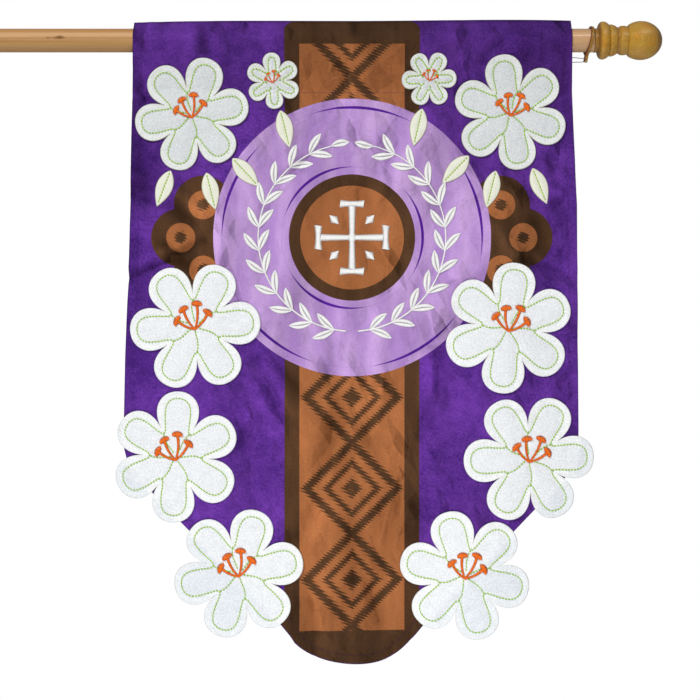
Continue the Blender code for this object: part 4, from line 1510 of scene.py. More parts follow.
def make_cloth(look):
    """One printed sheet from the foot up the front, over the pole and down to the seam behind."""
    shares = column_shares(look)
    low = lower_edge(across_cloth(shares, EDGE[CORNER_ROW][2]))
    hung_z = hanging_rows(low, look)
    hung = len(hung_z)
    heights, offsets, lengths = cloth_section(look)
    sleeve_z = np.broadcast_to(heights[:, None], (len(heights), len(shares)))
    z = np.concatenate([hung_z, sleeve_z])
    x = across_cloth(shares, z)
    offset = np.concatenate([np.zeros(hung), offsets])[:, None]
    laid = np.concatenate([hung_z, np.broadcast_to(lengths[:, None], sleeve_z.shape)])
    middle = cloth_middle(x, z)
    # Painted crease shading: how deep each point lies in a crease, up to twice as strong in the sleeve; the
    # print is darkened in troughs and lightened on ridges by it
    trough = np.clip(-crease_height(x, z) / CREASE_SHADE_DEPTH, -1.0, 1.0)
    trough = trough * (1.0 + smooth_step((z - OVER_POLE_Z) / OVER_POLE_FADE))
    behind = hung + int(np.argmax(heights)) + 1
    plain = smooth_step((z - SEAM_Z) / SEAM_FADE)
    middle[behind:] = (middle + (drape(x, z) - middle) * plain)[behind:]
    points = np.stack([CENTRE_X + x, middle + offset, z + crest_lift(x, z)], axis=-1)
    normal = surface_normals(points)
    edge = distance_to(BANNER_OUTLINE, x, z)
    edge[hung:] = np.minimum(x - across_cloth(0.0, z), across_cloth(1.0, z) - x)[hung:]
    hem = 1.0 - smooth_step((edge - look.cloth.hem_width + HEM_STEP_START) / HEM_STEP)
    hem[hung + len(heights) - TAIL_ROWS:] = 0.0
    # Painted shade along the top of the sleeve, where the fold turns away
    crest = np.exp(-(((z - z.max()) / CREST_SHADE) ** 2))
    half = look.cloth.thickness / 2
    thick = half + look.cloth.hem_extra * hem * smooth_step((SEAM_Z - z) / HEM_FADE + 1.0)
    front = points + normal * half
    back = points - normal * thick[..., None]
    piece = closed_sheet(
        "cloth_sheet",
        front,
        back,
        np.stack([x, laid], axis=-1),
        {
            "edge": (edge, edge),
            "crest": (crest, crest),
            "back": (np.zeros_like(edge), np.ones_like(edge)),
            "trough": (trough, np.zeros_like(edge)),
        },
        printed_cloth(look.cloth),
    )
    fit(piece, ["banner_cloth"])
    lengths[-1] - FOOT_EDGE[:, 1].min()
    flat_area(BANNER_OUTLINE) + (lengths[-1] - EDGE[0][2]) * (EDGE[0][1] - EDGE[0][0])


def flat_area(outline):
    x, z = outline[:, 0], outline[:, 1]
    return abs(float((x * np.roll(z, -1) - z * np.roll(x, -1)).sum())) / 2


# Felt blossoms and satin leaves


def disc_rings(outline, centre, shares):
    """Rings of places inside an outline, each a share of the way from its middle."""
    return centre + (outline - centre)[None, :, :] * np.asarray(shares)[:, None, None]


def stitch_line_of(outline, centre, inset):
    """The line of running stitches round a blossom, a given distance inside its edge."""
    shares = np.linspace(1.0, 0.15, 60)
    tried = disc_rings(outline, centre, shares)
    edge = distance_to(outline, tried[..., 0], tried[..., 1])
    far_enough = np.argmax(edge >= inset, axis=0)
    column = np.arange(len(outline))
    before = np.maximum(far_enough - 1, 0)
    low, high = edge[before, column], edge[far_enough, column]
    part = np.where(high > low, (inset - low) / np.maximum(high - low, 1e-9), 0.0)
    share = shares[before] + (shares[far_enough] - shares[before]) * part
    ring = centre + (outline - centre) * share[:, None]
    for _ in range(RING_SMOOTHINGS):
        ring = (np.roll(ring, 1, axis=0) + 2.0 * ring + np.roll(ring, -1, axis=0)) / 4.0
    return ring


def petal_seams(blossom, ring):
    """Lines of stitches from the middle of a blossom to its valleys, each bent the same way."""
    centre = middle_of(blossom)
    steps = len(ring) // PETALS
    lines = []
    for petal in range(PETALS):
        valley = ring[petal * steps] - centre
        reach, angle = math.hypot(*valley), math.atan2(valley[1], valley[0])
        share = np.linspace(0.0, 1.0, 14)
        radius = SEAM_START + (reach - SEAM_START) * share
        turn = angle + SEAM_BEND * np.sin(math.pi * share)
        lines.append(centre + swung(radius, turn))
    return lines


def blossom_stitch_lines(blossom, look):
    outline = blossom_outline(blossom, look.felt.petal_steps)
    inset = look.felt.stitch_inset * math.sqrt(blossom["radius"] / FULL_RADIUS)
    ring = stitch_line_of(outline, middle_of(blossom), inset)
    return [np.concatenate([ring, ring[:1]])] + petal_seams(blossom, ring)


def felt_swell(blossom, x, z, look):
    """How far the felt's front stands out from its plain thickness, drawn in along the stitches."""
    away = np.full(np.broadcast(x, z).shape, np.inf)
    for line in blossom_stitch_lines(blossom, look):
        away = np.minimum(away, distance_to(line[::2], x, z, closed=False))
    swell = smooth_step(away / PUFF_REACH) * look.felt.puff
    dip = look.felt.stitch_dip * np.exp(-((away / DIP_REACH) ** 2))
    return swell - dip


def felt_front(blossom, x, z, look):
    plain = applique_back(x, z, look) - FELT_DEPTH
    return plain - felt_swell(blossom, x, z, look) - tip_curl(blossom, x, z)


def beyond_cloth(x, z):
    """1 where felt hangs past the cloth's edge with nothing behind it, and 0 where it lies on the cloth."""
    inside = (z > lower_edge(x)) & (x > across_cloth(0.0, z)) & (x < across_cloth(1.0, z))
    return np.where(inside, 0.0, smooth_step(distance_to(BANNER_OUTLINE, x, z) / BEYOND_FADE))


def tip_curl(blossom, x, z):
    """The petals' tips stand a little off the cloth, unevenly."""
    across, up = x - blossom["x"], z - blossom["z"]
    reach = np.hypot(across, up) / blossom["radius"]
    uneven = 0.55 + 0.45 * np.sin(3.0 * np.arctan2(up, across) + 9.0 * blossom["x"] + 5.0 * blossom["z"])
    return TIP_CURL * uneven * smooth_step((reach - TIP_START) / (1.0 - TIP_START))


def make_applique(name, outline, centre, front_of, back_of, marks_of, finish):
    """A piece of thick cloth with a rounded rim, cut to an outline, between two surfaces."""
    reach = np.linalg.norm(outline - centre, axis=1).mean()
    rim = 1.0 - np.array(RIM_INSETS) * RIM_ROUNDING / reach
    fall = np.array(RIM_FALLS)
    inner = np.linspace(0.05, rim[0], FRONT_RINGS)[:-1]
    behind = np.linspace(0.08, rim[0], BACK_RINGS)[:-1][::-1]
    spots = disc_rings(outline, centre, [*inner, *rim, *rim[:-1][::-1], *behind])
    lowered = [*np.zeros(len(inner)), *fall, *(1.0 - 0.5 * fall[:-1][::-1]), *np.ones(len(behind))]
    x, z = spots[..., 0], spots[..., 1]
    front, back = front_of(x, z), back_of(x, z)
    rings = on_banner(x, front + (back - front) * np.array(lowered)[:, None], z)
    middle = np.array([centre])
    ends = [surface(middle[:, 0], middle[:, 1])[0] for surface in (front_of, back_of)]
    centres = np.array([[CENTRE_X + centre[0], depth, centre[1]] for depth in ends])
    return closed_disc(name, rings, centres, spots, middle, marks_of(x, z), finish)


def make_blossoms(look):
    """Felt blossoms sewn to the front, each swelling a little between its lines of stitches."""
    finish = white_felt(look.felt)
    for blossom in ALL_BLOSSOMS:
        outline = blossom_outline(blossom, look.felt.petal_steps)
        # Blossoms below the crossing get the brighter painted light
        lower = 1.0 if blossom["z"] < CROSS_Z else 0.0
        piece = make_applique(
            blossom["name"].replace("blossom", "felt"),
            outline,
            middle_of(blossom),
            lambda x, z: felt_front(blossom, x, z, look),
            lambda x, z: applique_back(x, z, look) - tip_curl(blossom, x, z),
            lambda x, z: {
                "edge": distance_to(outline, x, z),
                "lower": np.full(x.shape, lower),
                "beyond": beyond_cloth(x, z),
            },
            finish,
        )
        fit(piece, [blossom["name"]])
        size = 2 * blossom["radius"]
        flat_area(outline)


def leaf_front(leaf, x, z, look):
    """A leaf's front, crowned on both sides of a drawn-in midrib."""
    forward, aside = along_leaf(leaf, x, z)
    half = np.maximum(leaf_half_width(np.clip(forward / LEAF_LENGTH, 0.0, 1.0)), 0.001)
    crown = LEAF_CROWN * np.sin(math.pi * np.clip(aside / half, 0.0, 1.0) ** LEAF_CROWN_FULLNESS)
    return applique_back(x, z, look) - SATIN_DEPTH - crown * smooth_step(half / LEAF_CROWN_HALF)


def make_leaves(look):
    """Satin leaves sewn to the front."""
    finish = cream_satin(look.felt)
    for leaf in ALL_LEAVES:
        outline = leaf_outline(leaf, LEAF_STEPS)
        base, along = leaf_line(leaf)
        piece = make_applique(
            leaf["name"].replace("leaf", "satin"),
            outline,
            base + along * LEAF_LENGTH * LEAF_MIDDLE,
            lambda x, z: leaf_front(leaf, x, z, look),
            lambda x, z: applique_back(x, z, look),
            lambda x, z: {"edge": distance_to(outline, x, z)},
            finish,
        )
        fit(piece, [leaf["name"]])
        flat_area(outline)


# Stitching


def make_petal_stitches(look):
    """Green running stitches round and between the petals, and along the leaves."""
    thread = look.thread
    paths = []

    def sew(line, surface):
        stand = thread.running_width * RUNNING_STAND
        paths.append(running_stitches(line, thread.running_length, thread.running_pitch, surface, stand))

    for blossom in ALL_BLOSSOMS:
        for line in blossom_stitch_lines(blossom, look):
            sew(line, lambda x, z: felt_front(blossom, x, z, look))
    for leaf in ALL_LEAVES:
        base, along = leaf_line(leaf)
        rib = base + along * np.linspace(*LEAF_RIB, 12)[:, None] * LEAF_LENGTH
        sew(rib, lambda x, z: leaf_front(leaf, x, z, look))
    # The second colour is the painted shade at the stitch holes
    finish = twisted_thread("green_thread", thread.green, dye(116, 154, 50), 0.6, 0.0011, 0.25)
    fit_threads("petal_stitches", paths, thread.running_width, finish, RUNNING_FLATNESS, sides=5)


def rounded_end(share, margin):
    """Half width of an oval along its length, kept from running out at both ends."""
    return np.sin(math.pi * np.clip(share, margin, 1.0 - margin)) ** 0.5


def make_stamens(look):
    """Orange satin-stitched stamens, each a slim filament with an oval anther across its end."""
    thread = look.thread
    paths = []
    for blossom in ALL_BLOSSOMS:
        radius = blossom["radius"]
        scale = radius / FULL_RADIUS
        centre = middle_of(blossom) - np.array([0.0, STAMEN_DROP * radius])
        lean = 90 - math.copysign(STAMEN_LEAN, blossom["x"])

        def sew(line, half_width, stand, slant):
            surface = lambda x, z: felt_front(blossom, x, z, look)
            paths.append(satin_stitches(line, half_width, surface, stand * scale, slant))

        for turn, reach in zip(STAMEN_TURNS, STAMEN_REACHES):
            out, aside = heading(math.radians(lean + turn))
            bow = STAMEN_BOW * math.copysign(1.0, turn) * reach * radius
            share = np.linspace(0.0, 1.0, 9)
            filament = centre + out * (share * reach * radius)[:, None]
            filament = filament + aside * (bow * np.sin(math.pi * share))[:, None]
            sew(filament, lambda s: FILAMENT_HALF * scale * (0.8 + 0.5 * s), FILAMENT_STAND, 0.5)
            across = np.linspace(-ANTHER_REACH, ANTHER_REACH, 9)[:, None] * scale
            anther = filament[-1] + aside * across - out * across * across * ANTHER_DROOP / scale
            sew(anther, lambda s: ANTHER_HALF * scale * rounded_end(s, 0.04), ANTHER_STAND, 0.1)
    # The second colour is the painted shade at the stitch holes
    finish = twisted_thread("orange_thread", thread.orange, dye(158, 60, 20), 0.45, 0.0016, 0.4, 0.65)
    fit_threads("stamens", paths, thread.satin_width, finish)


def sewn_leaf(base, direction, length, half, surface):
    """Satin stitches of one leaf, in two slanting halves that meet at its midrib."""
    out, aside = heading(direction)
    share = np.linspace(0.0, 1.0, 12)
    bow = SEWN_LEAF_BOW * length * np.sin(math.pi * share)
    spine = base + out * (share * length)[:, None] + aside * bow[:, None]
    full = lambda s: np.sin(math.pi * np.clip(s, 0.015, 0.985) ** SEWN_LEAF_LEAN) ** SEWN_LEAF_FULLNESS
    return satin_stitches(spine, lambda s: half * full(s), surface, SEWN_LEAF_STAND, 0.7, split=True)


def wreath_paths(surface):
    """Two laurel branches that rise on both sides from the foot of the roundel."""
    paths = []
    for side in (-1, 1):
        angles = np.radians(np.linspace(WREATH_START / 3, WREATH_END, 60))
        branch = np.array([wreath_point(side * angle) for angle in angles])
        slim = lambda s: BRANCH_HALF - BRANCH_TAPER * s
        paths.append(satin_stitches(branch, slim, surface, BRANCH_STAND, 0.6))
        for base, direction, length in wreath_leaves(side):
            paths.append(sewn_leaf(base, direction, length, WREATH_LEAF_HALF, surface))
    return paths


def boss_cross_paths(surface):
    """A cross with a bar across the end of each arm, and a small diamond in each corner."""
    middle = np.array([0.0, CROSS_Z])
    paths = []

    def sew(line, half_width, stand, slant=0.0):
        paths.append(satin_stitches(middle + line, half_width, surface, stand, slant))

    for quarter in range(4):
        out, aside = heading(quarter * QUARTER_TURN)
        arm = out * np.linspace(CROSS_ARM_START, CROSS_ARM - CROSS_ARM_GAP, 8)[:, None]
        sew(arm, lambda s: CROSS_STROKE_HALF * (0.82 + 0.30 * s), CROSS_ARM_STAND, 0.15)
        bar = out * CROSS_ARM + aside * np.linspace(-CROSS_BAR_HALF, CROSS_BAR_HALF, 8)[:, None]
        sew(bar, lambda s: CROSS_BAR_WIDTH * (1.0 + 0.5 * (2 * s - 1) ** 2), CROSS_BAR_STAND, 0.15)
        corner = (out + aside) * np.linspace(*CROSS_CORNER, 6)[:, None]
        oblong = lambda s: CROSS_CORNER_HALF * (1.0 - np.abs(2 * s - 1)) + 0.0004
        sew(corner, oblong, CROSS_CORNER_STAND)
    heart = np.array([0.0, 1.0]) * np.linspace(-CROSS_HEART, CROSS_HEART, 6)[:, None]
    sew(heart, lambda s: CROSS_HEART * rounded_end(s, 0.06), CROSS_HEART_STAND)
    return paths


def make_embroidery(look):
    """White satin-stitched wreath and cross on the roundel."""
    surface = lambda x, z: cloth_front(x, z, look)
    thread = look.thread
    # The second colour is the painted shade at the stitch holes
    finish = twisted_thread("white_thread", thread.white, dye(206, 204, 204), 0.40, 0.0016, 0.5)
    paths = wreath_paths(surface) + boss_cross_paths(surface)
    fit_threads("embroidery", paths, thread.satin_width, finish)


def inset_line(line, distance):
    """A line moved sideways, to the right of its run, with its corners kept."""
    run = np.gradient(line, axis=0)
    run /= np.linalg.norm(run, axis=1, keepdims=True)
    return line + np.stack([run[:, 1], -run[:, 0]], axis=1) * distance


def hem_line(inset, top):
    """The hems' line of stitches, from the top down the right side, round the foot and up the left side."""
    outline = BANNER_OUTLINE[1:-1]
    even = walk(outline, np.linspace(0.0, line_length(outline), 420))
    moved = inset_line(even, inset)
    return moved[moved[:, 1] < top]


def make_hem_stitches(look):
    """Lock stitches of the hems and of the sleeve's seam, on both faces."""
    cloth, thread = look.cloth, look.thread
    front = lambda x, z: cloth_front(x, z, look)
    behind = lambda x, z: cloth_middle(x, z) + cloth.thickness / 2 + cloth.hem_extra
    over_tail = lambda x, z: cloth_middle(x, z) + 1.5 * cloth.thickness + LAYER_GAP
    inset = cloth.hem_width - HEM_STITCH_INSET
    seam_x = np.linspace(-SEAM_STITCH_HALF, SEAM_STITCH_HALF, 60)
    seam = np.stack([seam_x, np.full(60, SEAM_Z - SEAM_STITCH_DROP)], axis=1)
    paths = []
    for line, surface, stand in (
        (hem_line(inset, HEM_STITCH_TOP), front, LOCK_STAND),
        (hem_line(inset, BACK_STITCH_TOP), behind, -LOCK_STAND),
        (seam, front, LOCK_STAND),
        (seam, over_tail, -LOCK_STAND),
    ):
        made = running_stitches(line, thread.lock_length, thread.lock_pitch, surface, stand)
        middle = made[:, 1:3].mean(axis=1)
        bare = gap_to_appliques(middle[:, 0] - CENTRE_X, middle[:, 2]) > APPLIQUE_ROOM
        paths.append(made[bare] if stand > 0 else made)
    # The second colour is the painted shade at the stitch holes
    finish = twisted_thread("purple_thread", thread.purple, dye(42, 22, 60), 0.5, 0.0008, 0.3)
    fit_threads("hem_stitches", paths, thread.lock_width, finish)


# Pole and finial


def pick(piece, wanted):
    """In edit mode, selects the vertices that a test of their place wants, and what lies between them."""
    shape = bmesh.from_edit_mesh(piece.data)
    for element in (*shape.verts, *shape.edges, *shape.faces):
        element.select = False
    for vert in shape.verts:
        vert.select = wanted(vert.co)
    shape.select_flush_mode()
    shape.select_flush(True)
    bmesh.update_edit_mesh(piece.data)


def start_piece(name):
    """Names the primitive that was just added, settles its place in its mesh and opens it for editing."""
    piece = bpy.context.object
    piece.name = piece.data.name = name
    bpy.ops.object.transform_apply(location=True, rotation=True, scale=True)
    bpy.ops.object.mode_set(mode="EDIT")
    bpy.ops.mesh.select_all(action="SELECT")
    return piece


def end_piece(piece, finish):
    """Closes and evens the mesh, and gives it its finish."""
    bpy.ops.mesh.select_all(action="SELECT")
    bpy.ops.mesh.remove_doubles(threshold=0.00002)
    bpy.ops.mesh.normals_make_consistent(inside=False)
    bpy.ops.object.mode_set(mode="OBJECT")
    piece.data.materials.clear()
    piece.data.materials.append(finish)
    smooth(piece)
    return piece


def turned(name, profile, sides, finish):
    """A piece turned on the pole's axis: a disc drawn out along +X and scaled from one radius to the next."""
    select_only()
    (first_x, radius), rest = profile[0], profile[1:]
    bpy.ops.mesh.primitive_circle_add(
        vertices=sides,
        radius=radius,
        fill_type="NGON",
        location=(first_x, 0.0, 0.0),
        rotation=(0.0, QUARTER_TURN, 0.0),
    )
    piece = start_piece(name)
    at = first_x
    for next_x, next_radius in rest:
        bpy.ops.mesh.extrude_region_move(TRANSFORM_OT_translate={"value": (next_x - at, 0.0, 0.0)})
        ratio = next_radius / radius
        bpy.ops.transform.resize(value=(1.0, ratio, ratio), center_override=(next_x, 0.0, 0.0))
        at, radius = next_x, next_radius
    bpy.ops.mesh.inset(thickness=radius * 0.6)
    return end_piece(piece, finish)


def pole_wood(look):
    """Pale varnished softwood: fine lines along the pole, a brown streak, a few knots, and bands that are
    partly grain and partly painted light and shade.
    """
    brush = Brush("pole_wood")
    place_on = brush.object_place()
    x, y, z = brush.parts(place_on)
    broad = brush.streaks(place_on, (1.6, 120.0, 120.0), 4.0, 0.6)
    fine = brush.streaks(place_on, (7.0, 900.0, 900.0), 3.0, 0.65)
    sway = (brush.streaks(place_on, (9.0, 0.0, 0.0), 2.0) - 0.5) * 0.12
    tone = brush.sharpen(broad * 0.75 + fine * 0.25, 0.34, 0.68)
    colour = brush.blend(tone, look.pole_grain, look.pole)
    around = brush.maths("ARCTAN2", z, -y) + sway
    flecks = brush.streaks(place_on, (60.0, 420.0, 420.0), 3.0, 0.6)
    colour = brush.shaded(colour, 0.88 + flecks * 0.24)
    # Bands at fixed places round the pole: partly grain, partly painted light and shade, with a painted
    # highlight just above the axis
    for middle, half, strength, band in POLE_GRAIN_AND_LIGHT_BANDS:
        near = 1.0 - brush.sharpen(abs(around - middle), half * 0.4, half)
        colour = brush.blend(near * strength * (0.6 + broad * 0.8), colour, dye(*band))
    streak = brush.within(abs(around - 0.03) - 0.030, 0.06) * (1.0 - brush.sharpen(x, 0.22, 0.40))
    colour = brush.blend(streak * 0.42, colour, dye(132, 90, 48))
    for knot_x, knot_turn, long, wide in POLE_KNOTS:
        away = brush.span((x - knot_x) / long, (around - knot_turn) * POLE_RADIUS / wide)
        colour = brush.blend((1.0 - brush.sharpen(away, 0.25, 1.0)) * 0.75, colour, dye(112, 74, 36))
    clear_end = brush.sharpen(x, *CLEAR_END)
    colour = brush.blend(clear_end * 0.60, colour, dye(214, 172, 132))
    relief = brush.relief(fine + broad * 0.5, 0.00008, 0.5)
    made = brush.finish(colour, 0.46 - clear_end * 0.16, relief, Coat_Roughness=0.10, Specular_IOR_Level=0.28)
    brush.join(0.10 + clear_end * 0.80, brush.shader.inputs["Coat Weight"])
    return made


def finial_wood(look):
    """Golden varnished hardwood: long grain and turning lines, with painted shade in the grooves and on the
    first bead's flank.
    """
    brush = Brush("finial_wood")
    place_on = brush.object_place()
    x, y, z = brush.parts(place_on)
    radius = brush.span(y, z)
    broad = brush.streaks(place_on, (34.0, 70.0, 70.0), 4.0, 0.6)
    fine = brush.streaks(place_on, (160.0, 900.0, 900.0), 3.0, 0.65)
    swirl = brush.noise(place_on, 48.0, 3.0, 0.6)
    year = brush.span(y - 0.085, z + 0.006) + (x - 1.190) * 0.06 + swirl * 0.0150
    rings = brush.zigzag(year / 0.00230)
    colour = brush.blend(
        brush.sharpen(rings * 0.17 + broad * 0.50 + fine * 0.33, 0.30, 0.66),
        look.finial_grain, look.finial)
    amber = brush.sharpen(brush.noise(place_on, 55.0, 2.0), 0.52, 0.66)
    colour = brush.blend(amber * 0.40, colour, dye(206, 136, 34))
    # Painted shade in the grooves between the beads and on the left flank of the first bead
    groove_shade = 1.0 - brush.sharpen(radius, 0.0205, 0.0236)
    flank_shade = 1.0 - brush.sharpen(abs(x - POLE_END_X - BEADS[0][0] - 0.0010), 0.0012, 0.0042)
    colour = brush.blend(brush.most(groove_shade * 0.5, flank_shade * 0.75), colour, dye(122, 76, 30))
    turning = brush.maths("SINE", x * (math.tau / 0.0011))
    relief = brush.relief(turning * 0.4 + fine, 0.00005, 0.5)
    return brush.finish(
        colour, 0.42 + fine * 0.10, relief, Coat_Weight=1.0, Coat_Roughness=0.34, Specular_IOR_Level=0.35)


def make_pole(look):
    """Round wooden pole with a rounded butt."""
    bevel = [
        (BUTT_BEVEL * (1.0 - math.cos(turn)), POLE_RADIUS - BUTT_BEVEL * (1.0 - math.sin(turn)))
        for turn in np.linspace(0.0, QUARTER_TURN, 6)
    ]
    shaft = [(x, POLE_RADIUS) for x in np.linspace(BUTT_BEVEL, POLE_END_X, 40)[1:]]
    piece = turned("turned_pole", bevel + shaft, look.wood.sides, pole_wood(look.wood))
    fit(piece, ["pole"])


def finial_profile():
    """Place along the pole and radius, from the collar over the beads to the ball's end."""
    points = [(0.0, COLLAR_RADIUS - 0.0006), (0.0006, COLLAR_RADIUS)]
    for bead in rows_of(BEAD_COLUMNS, BEADS):
        for share in np.linspace(0.0, 1.0, 22):
            swell = math.sin(math.pi * share ** BEAD_LEAN) ** BEAD_FULLNESS if 0.0 < share < 1.0 else 0.0
            along = bead["start"] + (bead["end"] - bead["start"]) * share
            root = bead["first_root"] + (bead["last_root"] - bead["first_root"]) * share
            middle_root = (bead["first_root"] + bead["last_root"]) / 2
            if along > points[-1][0]:
                points.append((along, root + (bead["crest"] - middle_root) * swell))
    first = math.asin(BALL_ROOT / BALL_RADIUS) - math.pi
    near = (BALL_MIDDLE - BALL_START) / -math.cos(first)
    last = -math.asin(BALL_END_FLAT / BALL_RADIUS)
    for angle in np.linspace(first, last, 44)[1:]:
        half = near if math.cos(angle) < 0 else (BALL_END - BALL_MIDDLE) / math.cos(last)
        points.append((BALL_MIDDLE + half * math.cos(angle), -BALL_RADIUS * math.sin(angle)))
    return [(POLE_END_X + SEAT_GAP + along, radius) for along, radius in points]


def make_finial(look):
    """Turned finial with its beads and ball."""
    piece = turned("turned_finial", finial_profile(), look.wood.sides, finial_wood(look.wood))
    fit(piece, ["finial"])


# Clip ring, wire loop and tab


def ring_frame():
    """The clip ring's place: its own +Z is its axis, its own +X points to the lug."""
    lean = Matrix.Rotation(RING_YAW, 4, "Z") @ Matrix.Rotation(RING_TILT, 4, "Y")
    down = Matrix.Rotation(QUARTER_TURN, 4, "Y")
    return Matrix.Translation((RING_X, 0.0, -RING_DROP)) @ lean @ down


def ring_plastic(look):
    """Moulded plastic with a faint flow mottle, darker on its far face."""
    brush = Brush("ring_plastic")
    place_on = brush.object_place()
    cloud = brush.noise(place_on, 260.0, 4.0)
    speck = brush.noise(place_on, 2600.0, 2.0)
    colour = brush.shaded(look.ring, 0.82 + cloud * 0.36)
    x, y, z = brush.parts(place_on)
    across = math.cos(RING_TILT) * math.sin(RING_YAW)
    along = (x - RING_X) * math.cos(RING_TILT) + y * across - (z + RING_DROP) * math.sin(RING_TILT)
    colour = brush.blend(1.0 - brush.sharpen(along, -0.0024, -0.0008), colour, dye(104, 46, 16))
    relief = brush.relief(speck + cloud, 0.00004, 0.5)
    return brush.finish(colour, 0.30 + cloud * 0.12, relief, Specular_IOR_Level=0.5, Coat_Weight=0.2)


def make_ring(look):
    """Plastic ring round the pole with a drilled lug below it."""
    select_only()
    bpy.ops.mesh.primitive_plane_add(
        size=1.0,
        location=(RING_INNER + RING_WALL / 2, 0.0, 0.0),
        rotation=(QUARTER_TURN, 0.0, 0.0),
    )
    bpy.context.object.scale = (RING_WALL, RING_WIDTH, 1.0)
    ring = start_piece("ring_clip")
    bpy.ops.mesh.bevel(offset=RING_BEVEL, segments=4, affect="VERTICES")
    bpy.ops.mesh.select_all(action="SELECT")
    bpy.ops.mesh.delete(type="ONLY_FACE")
    bpy.ops.mesh.select_all(action="SELECT")
    bpy.ops.mesh.spin(steps=84, angle=math.tau, center=(0.0, 0.0, 0.0), axis=(0.0, 0.0, 1.0))
    end_piece(ring, ring_plastic(look.wood))
    lug, drill = make_lug(), make_drill()
    for tool, way in ((lug, "UNION"), (drill, "DIFFERENCE")):
        join = ring.modifiers.new(way.lower(), "BOOLEAN")
        join.object = tool
        join.operation = way
        bpy.context.view_layer.objects.active = ring
        bpy.ops.object.modifier_apply(modifier=join.name)
        bpy.data.objects.remove(tool)
    ring.data.transform(ring_frame())
    smooth(ring)
    fit(ring, ["clip_ring"])


def make_lug():
    select_only()
    bpy.ops.mesh.primitive_cube_add(size=1.0, location=((LUG_END + LUG_TOP) / 2, 0.0, 0.0))
    bpy.context.object.scale = (LUG_END - LUG_TOP, LUG_DEPTH, LUG_WIDTH)
    lug = start_piece("lug")
    pick(lug, lambda spot: spot.x > LUG_END - 0.0001)
    bpy.ops.mesh.bevel(offset=LUG_BEVEL, segments=5, affect="EDGES")
    bpy.ops.object.mode_set(mode="OBJECT")
    return lug


def make_drill():
    select_only()
    bpy.ops.mesh.primitive_cylinder_add(
        vertices=32,
        radius=HOLE_RADIUS,
        depth=LUG_DEPTH * 2,
        location=(HOLE_CENTRE, 0.0, 0.0),
        rotation=(QUARTER_TURN, 0.0, 0.0),
    )
    drill = start_piece("drill")
    bpy.ops.object.mode_set(mode="OBJECT")
    return drill


def drawn_wire(look):
    """Drawn steel wire with fine lines along it."""
    brush = Brush("drawn_wire")
    place_on = brush.object_place()
    lines = brush.streaks(place_on, (60.0, 2400.0, 2400.0), 3.0)
    colour = brush.shaded(look.wire, 0.85 + lines * 0.3)
    relief = brush.relief(lines, 0.00003, 0.5)
    return brush.finish(colour, 0.24 + lines * 0.16, relief, Metallic=1.0)


def make_wire(look):
    """Closed loop of wire from the lug's hole into the sleeve."""
    line = bpy.data.curves.new("wire_loop", "CURVE")
    line.dimensions = "3D"
    line.bevel_depth = WIRE_RADIUS
    line.bevel_resolution = 4
    line.resolution_u = 4
    route = line.splines.new("NURBS")
    points = rows_of(WIRE_COLUMNS, WIRE)
    route.points.add(len(points) - 1)
    for point, spot in zip(route.points, points):
        point.co = (spot["x"], spot["y"], spot["z"], 1.0)
    route.use_cyclic_u = True
    route.order_u = 3
    piece = bpy.data.objects.new("wire_loop", line)
    bpy.context.scene.collection.objects.link(piece)
    select_only(piece)
    bpy.ops.object.convert(target="MESH")
    piece.data.transform(Matrix.Translation(ring_frame() @ Vector((HOLE_CENTRE, 0.0, 0.0))))
    piece.data.materials.append(drawn_wire(look.wood))
    smooth(piece)
    fit(piece, ["clip_wire"])


def purple_webbing(look):
    """Narrow woven tape."""
    brush = Brush("purple_webbing")
    u, v, _ = brush.parts(brush.flat())
    weave = weave_height(brush, u, v, 0.0007)
    colour = brush.shaded(look.webbing, 0.80 + weave * 0.35)
    return brush.finish(colour, 0.7, brush.relief(weave, 0.00015), Sheen_Weight=0.2)


def make_tab(look):
    """Strip of webbing folded round the wire's end, its two ends together inside the sleeve."""
    wire_end = min(spot["x"] for spot in rows_of(WIRE_COLUMNS, WIRE))
    stem = Vector((TAB_END_X - wire_end, TAB_END_Y))
    toward = math.atan2(stem.y, stem.x)
    middle = TAB_EYE_RADIUS + TAB_WALL / 2
    opening = math.asin(TAB_WALL / 2 / middle) * TAB_OPENING
    turn = toward + opening + (math.tau - 2 * opening) * np.linspace(0.0, 1.0, 29)
    eye = swung(middle, turn) + np.array([wire_end, 0.0])
    side = np.array([-stem.y, stem.x]) / stem.length * TAB_WALL / 2 * TAB_SPREAD
    end = np.array([TAB_END_X, TAB_END_Y])
    out = walk(np.array([end + side, eye[0]]), np.linspace(0.0, 1.0, 14) * math.dist(end + side, eye[0]))
    back = walk(np.array([eye[-1], end - side]), np.linspace(0.0, 1.0, 14) * math.dist(end - side, eye[-1]))
    line = np.concatenate([out[:-1], eye, back[1:]])
    reach = reach_along(line)
    heights = np.linspace(-0.5, 0.5, 9) * TAB_HEIGHT
    start = ring_frame() @ Vector((HOLE_CENTRE, 0.0, 0.0))
    faces = []
    for shift in (TAB_SHIFT, -TAB_SHIFT):
        spots = inset_line(line, shift)[:, None, :]
        grid = np.zeros((len(line), len(heights), 3))
        grid[..., 0] = start.x + spots[..., 0]
        grid[..., 1] = start.y + spots[..., 1]
        grid[..., 2] = start.z + heights
        faces.append(grid.transpose(1, 0, 2))
    flat = np.stack(np.meshgrid(reach, heights), axis=-1)
    none = np.zeros(flat.shape[:2])
    piece = closed_sheet(
        "webbing_tab", faces[0], faces[1], flat, {"edge": (none, none)}, purple_webbing(look.wood))
    fit(piece, ["leash_tab"])


# Studio


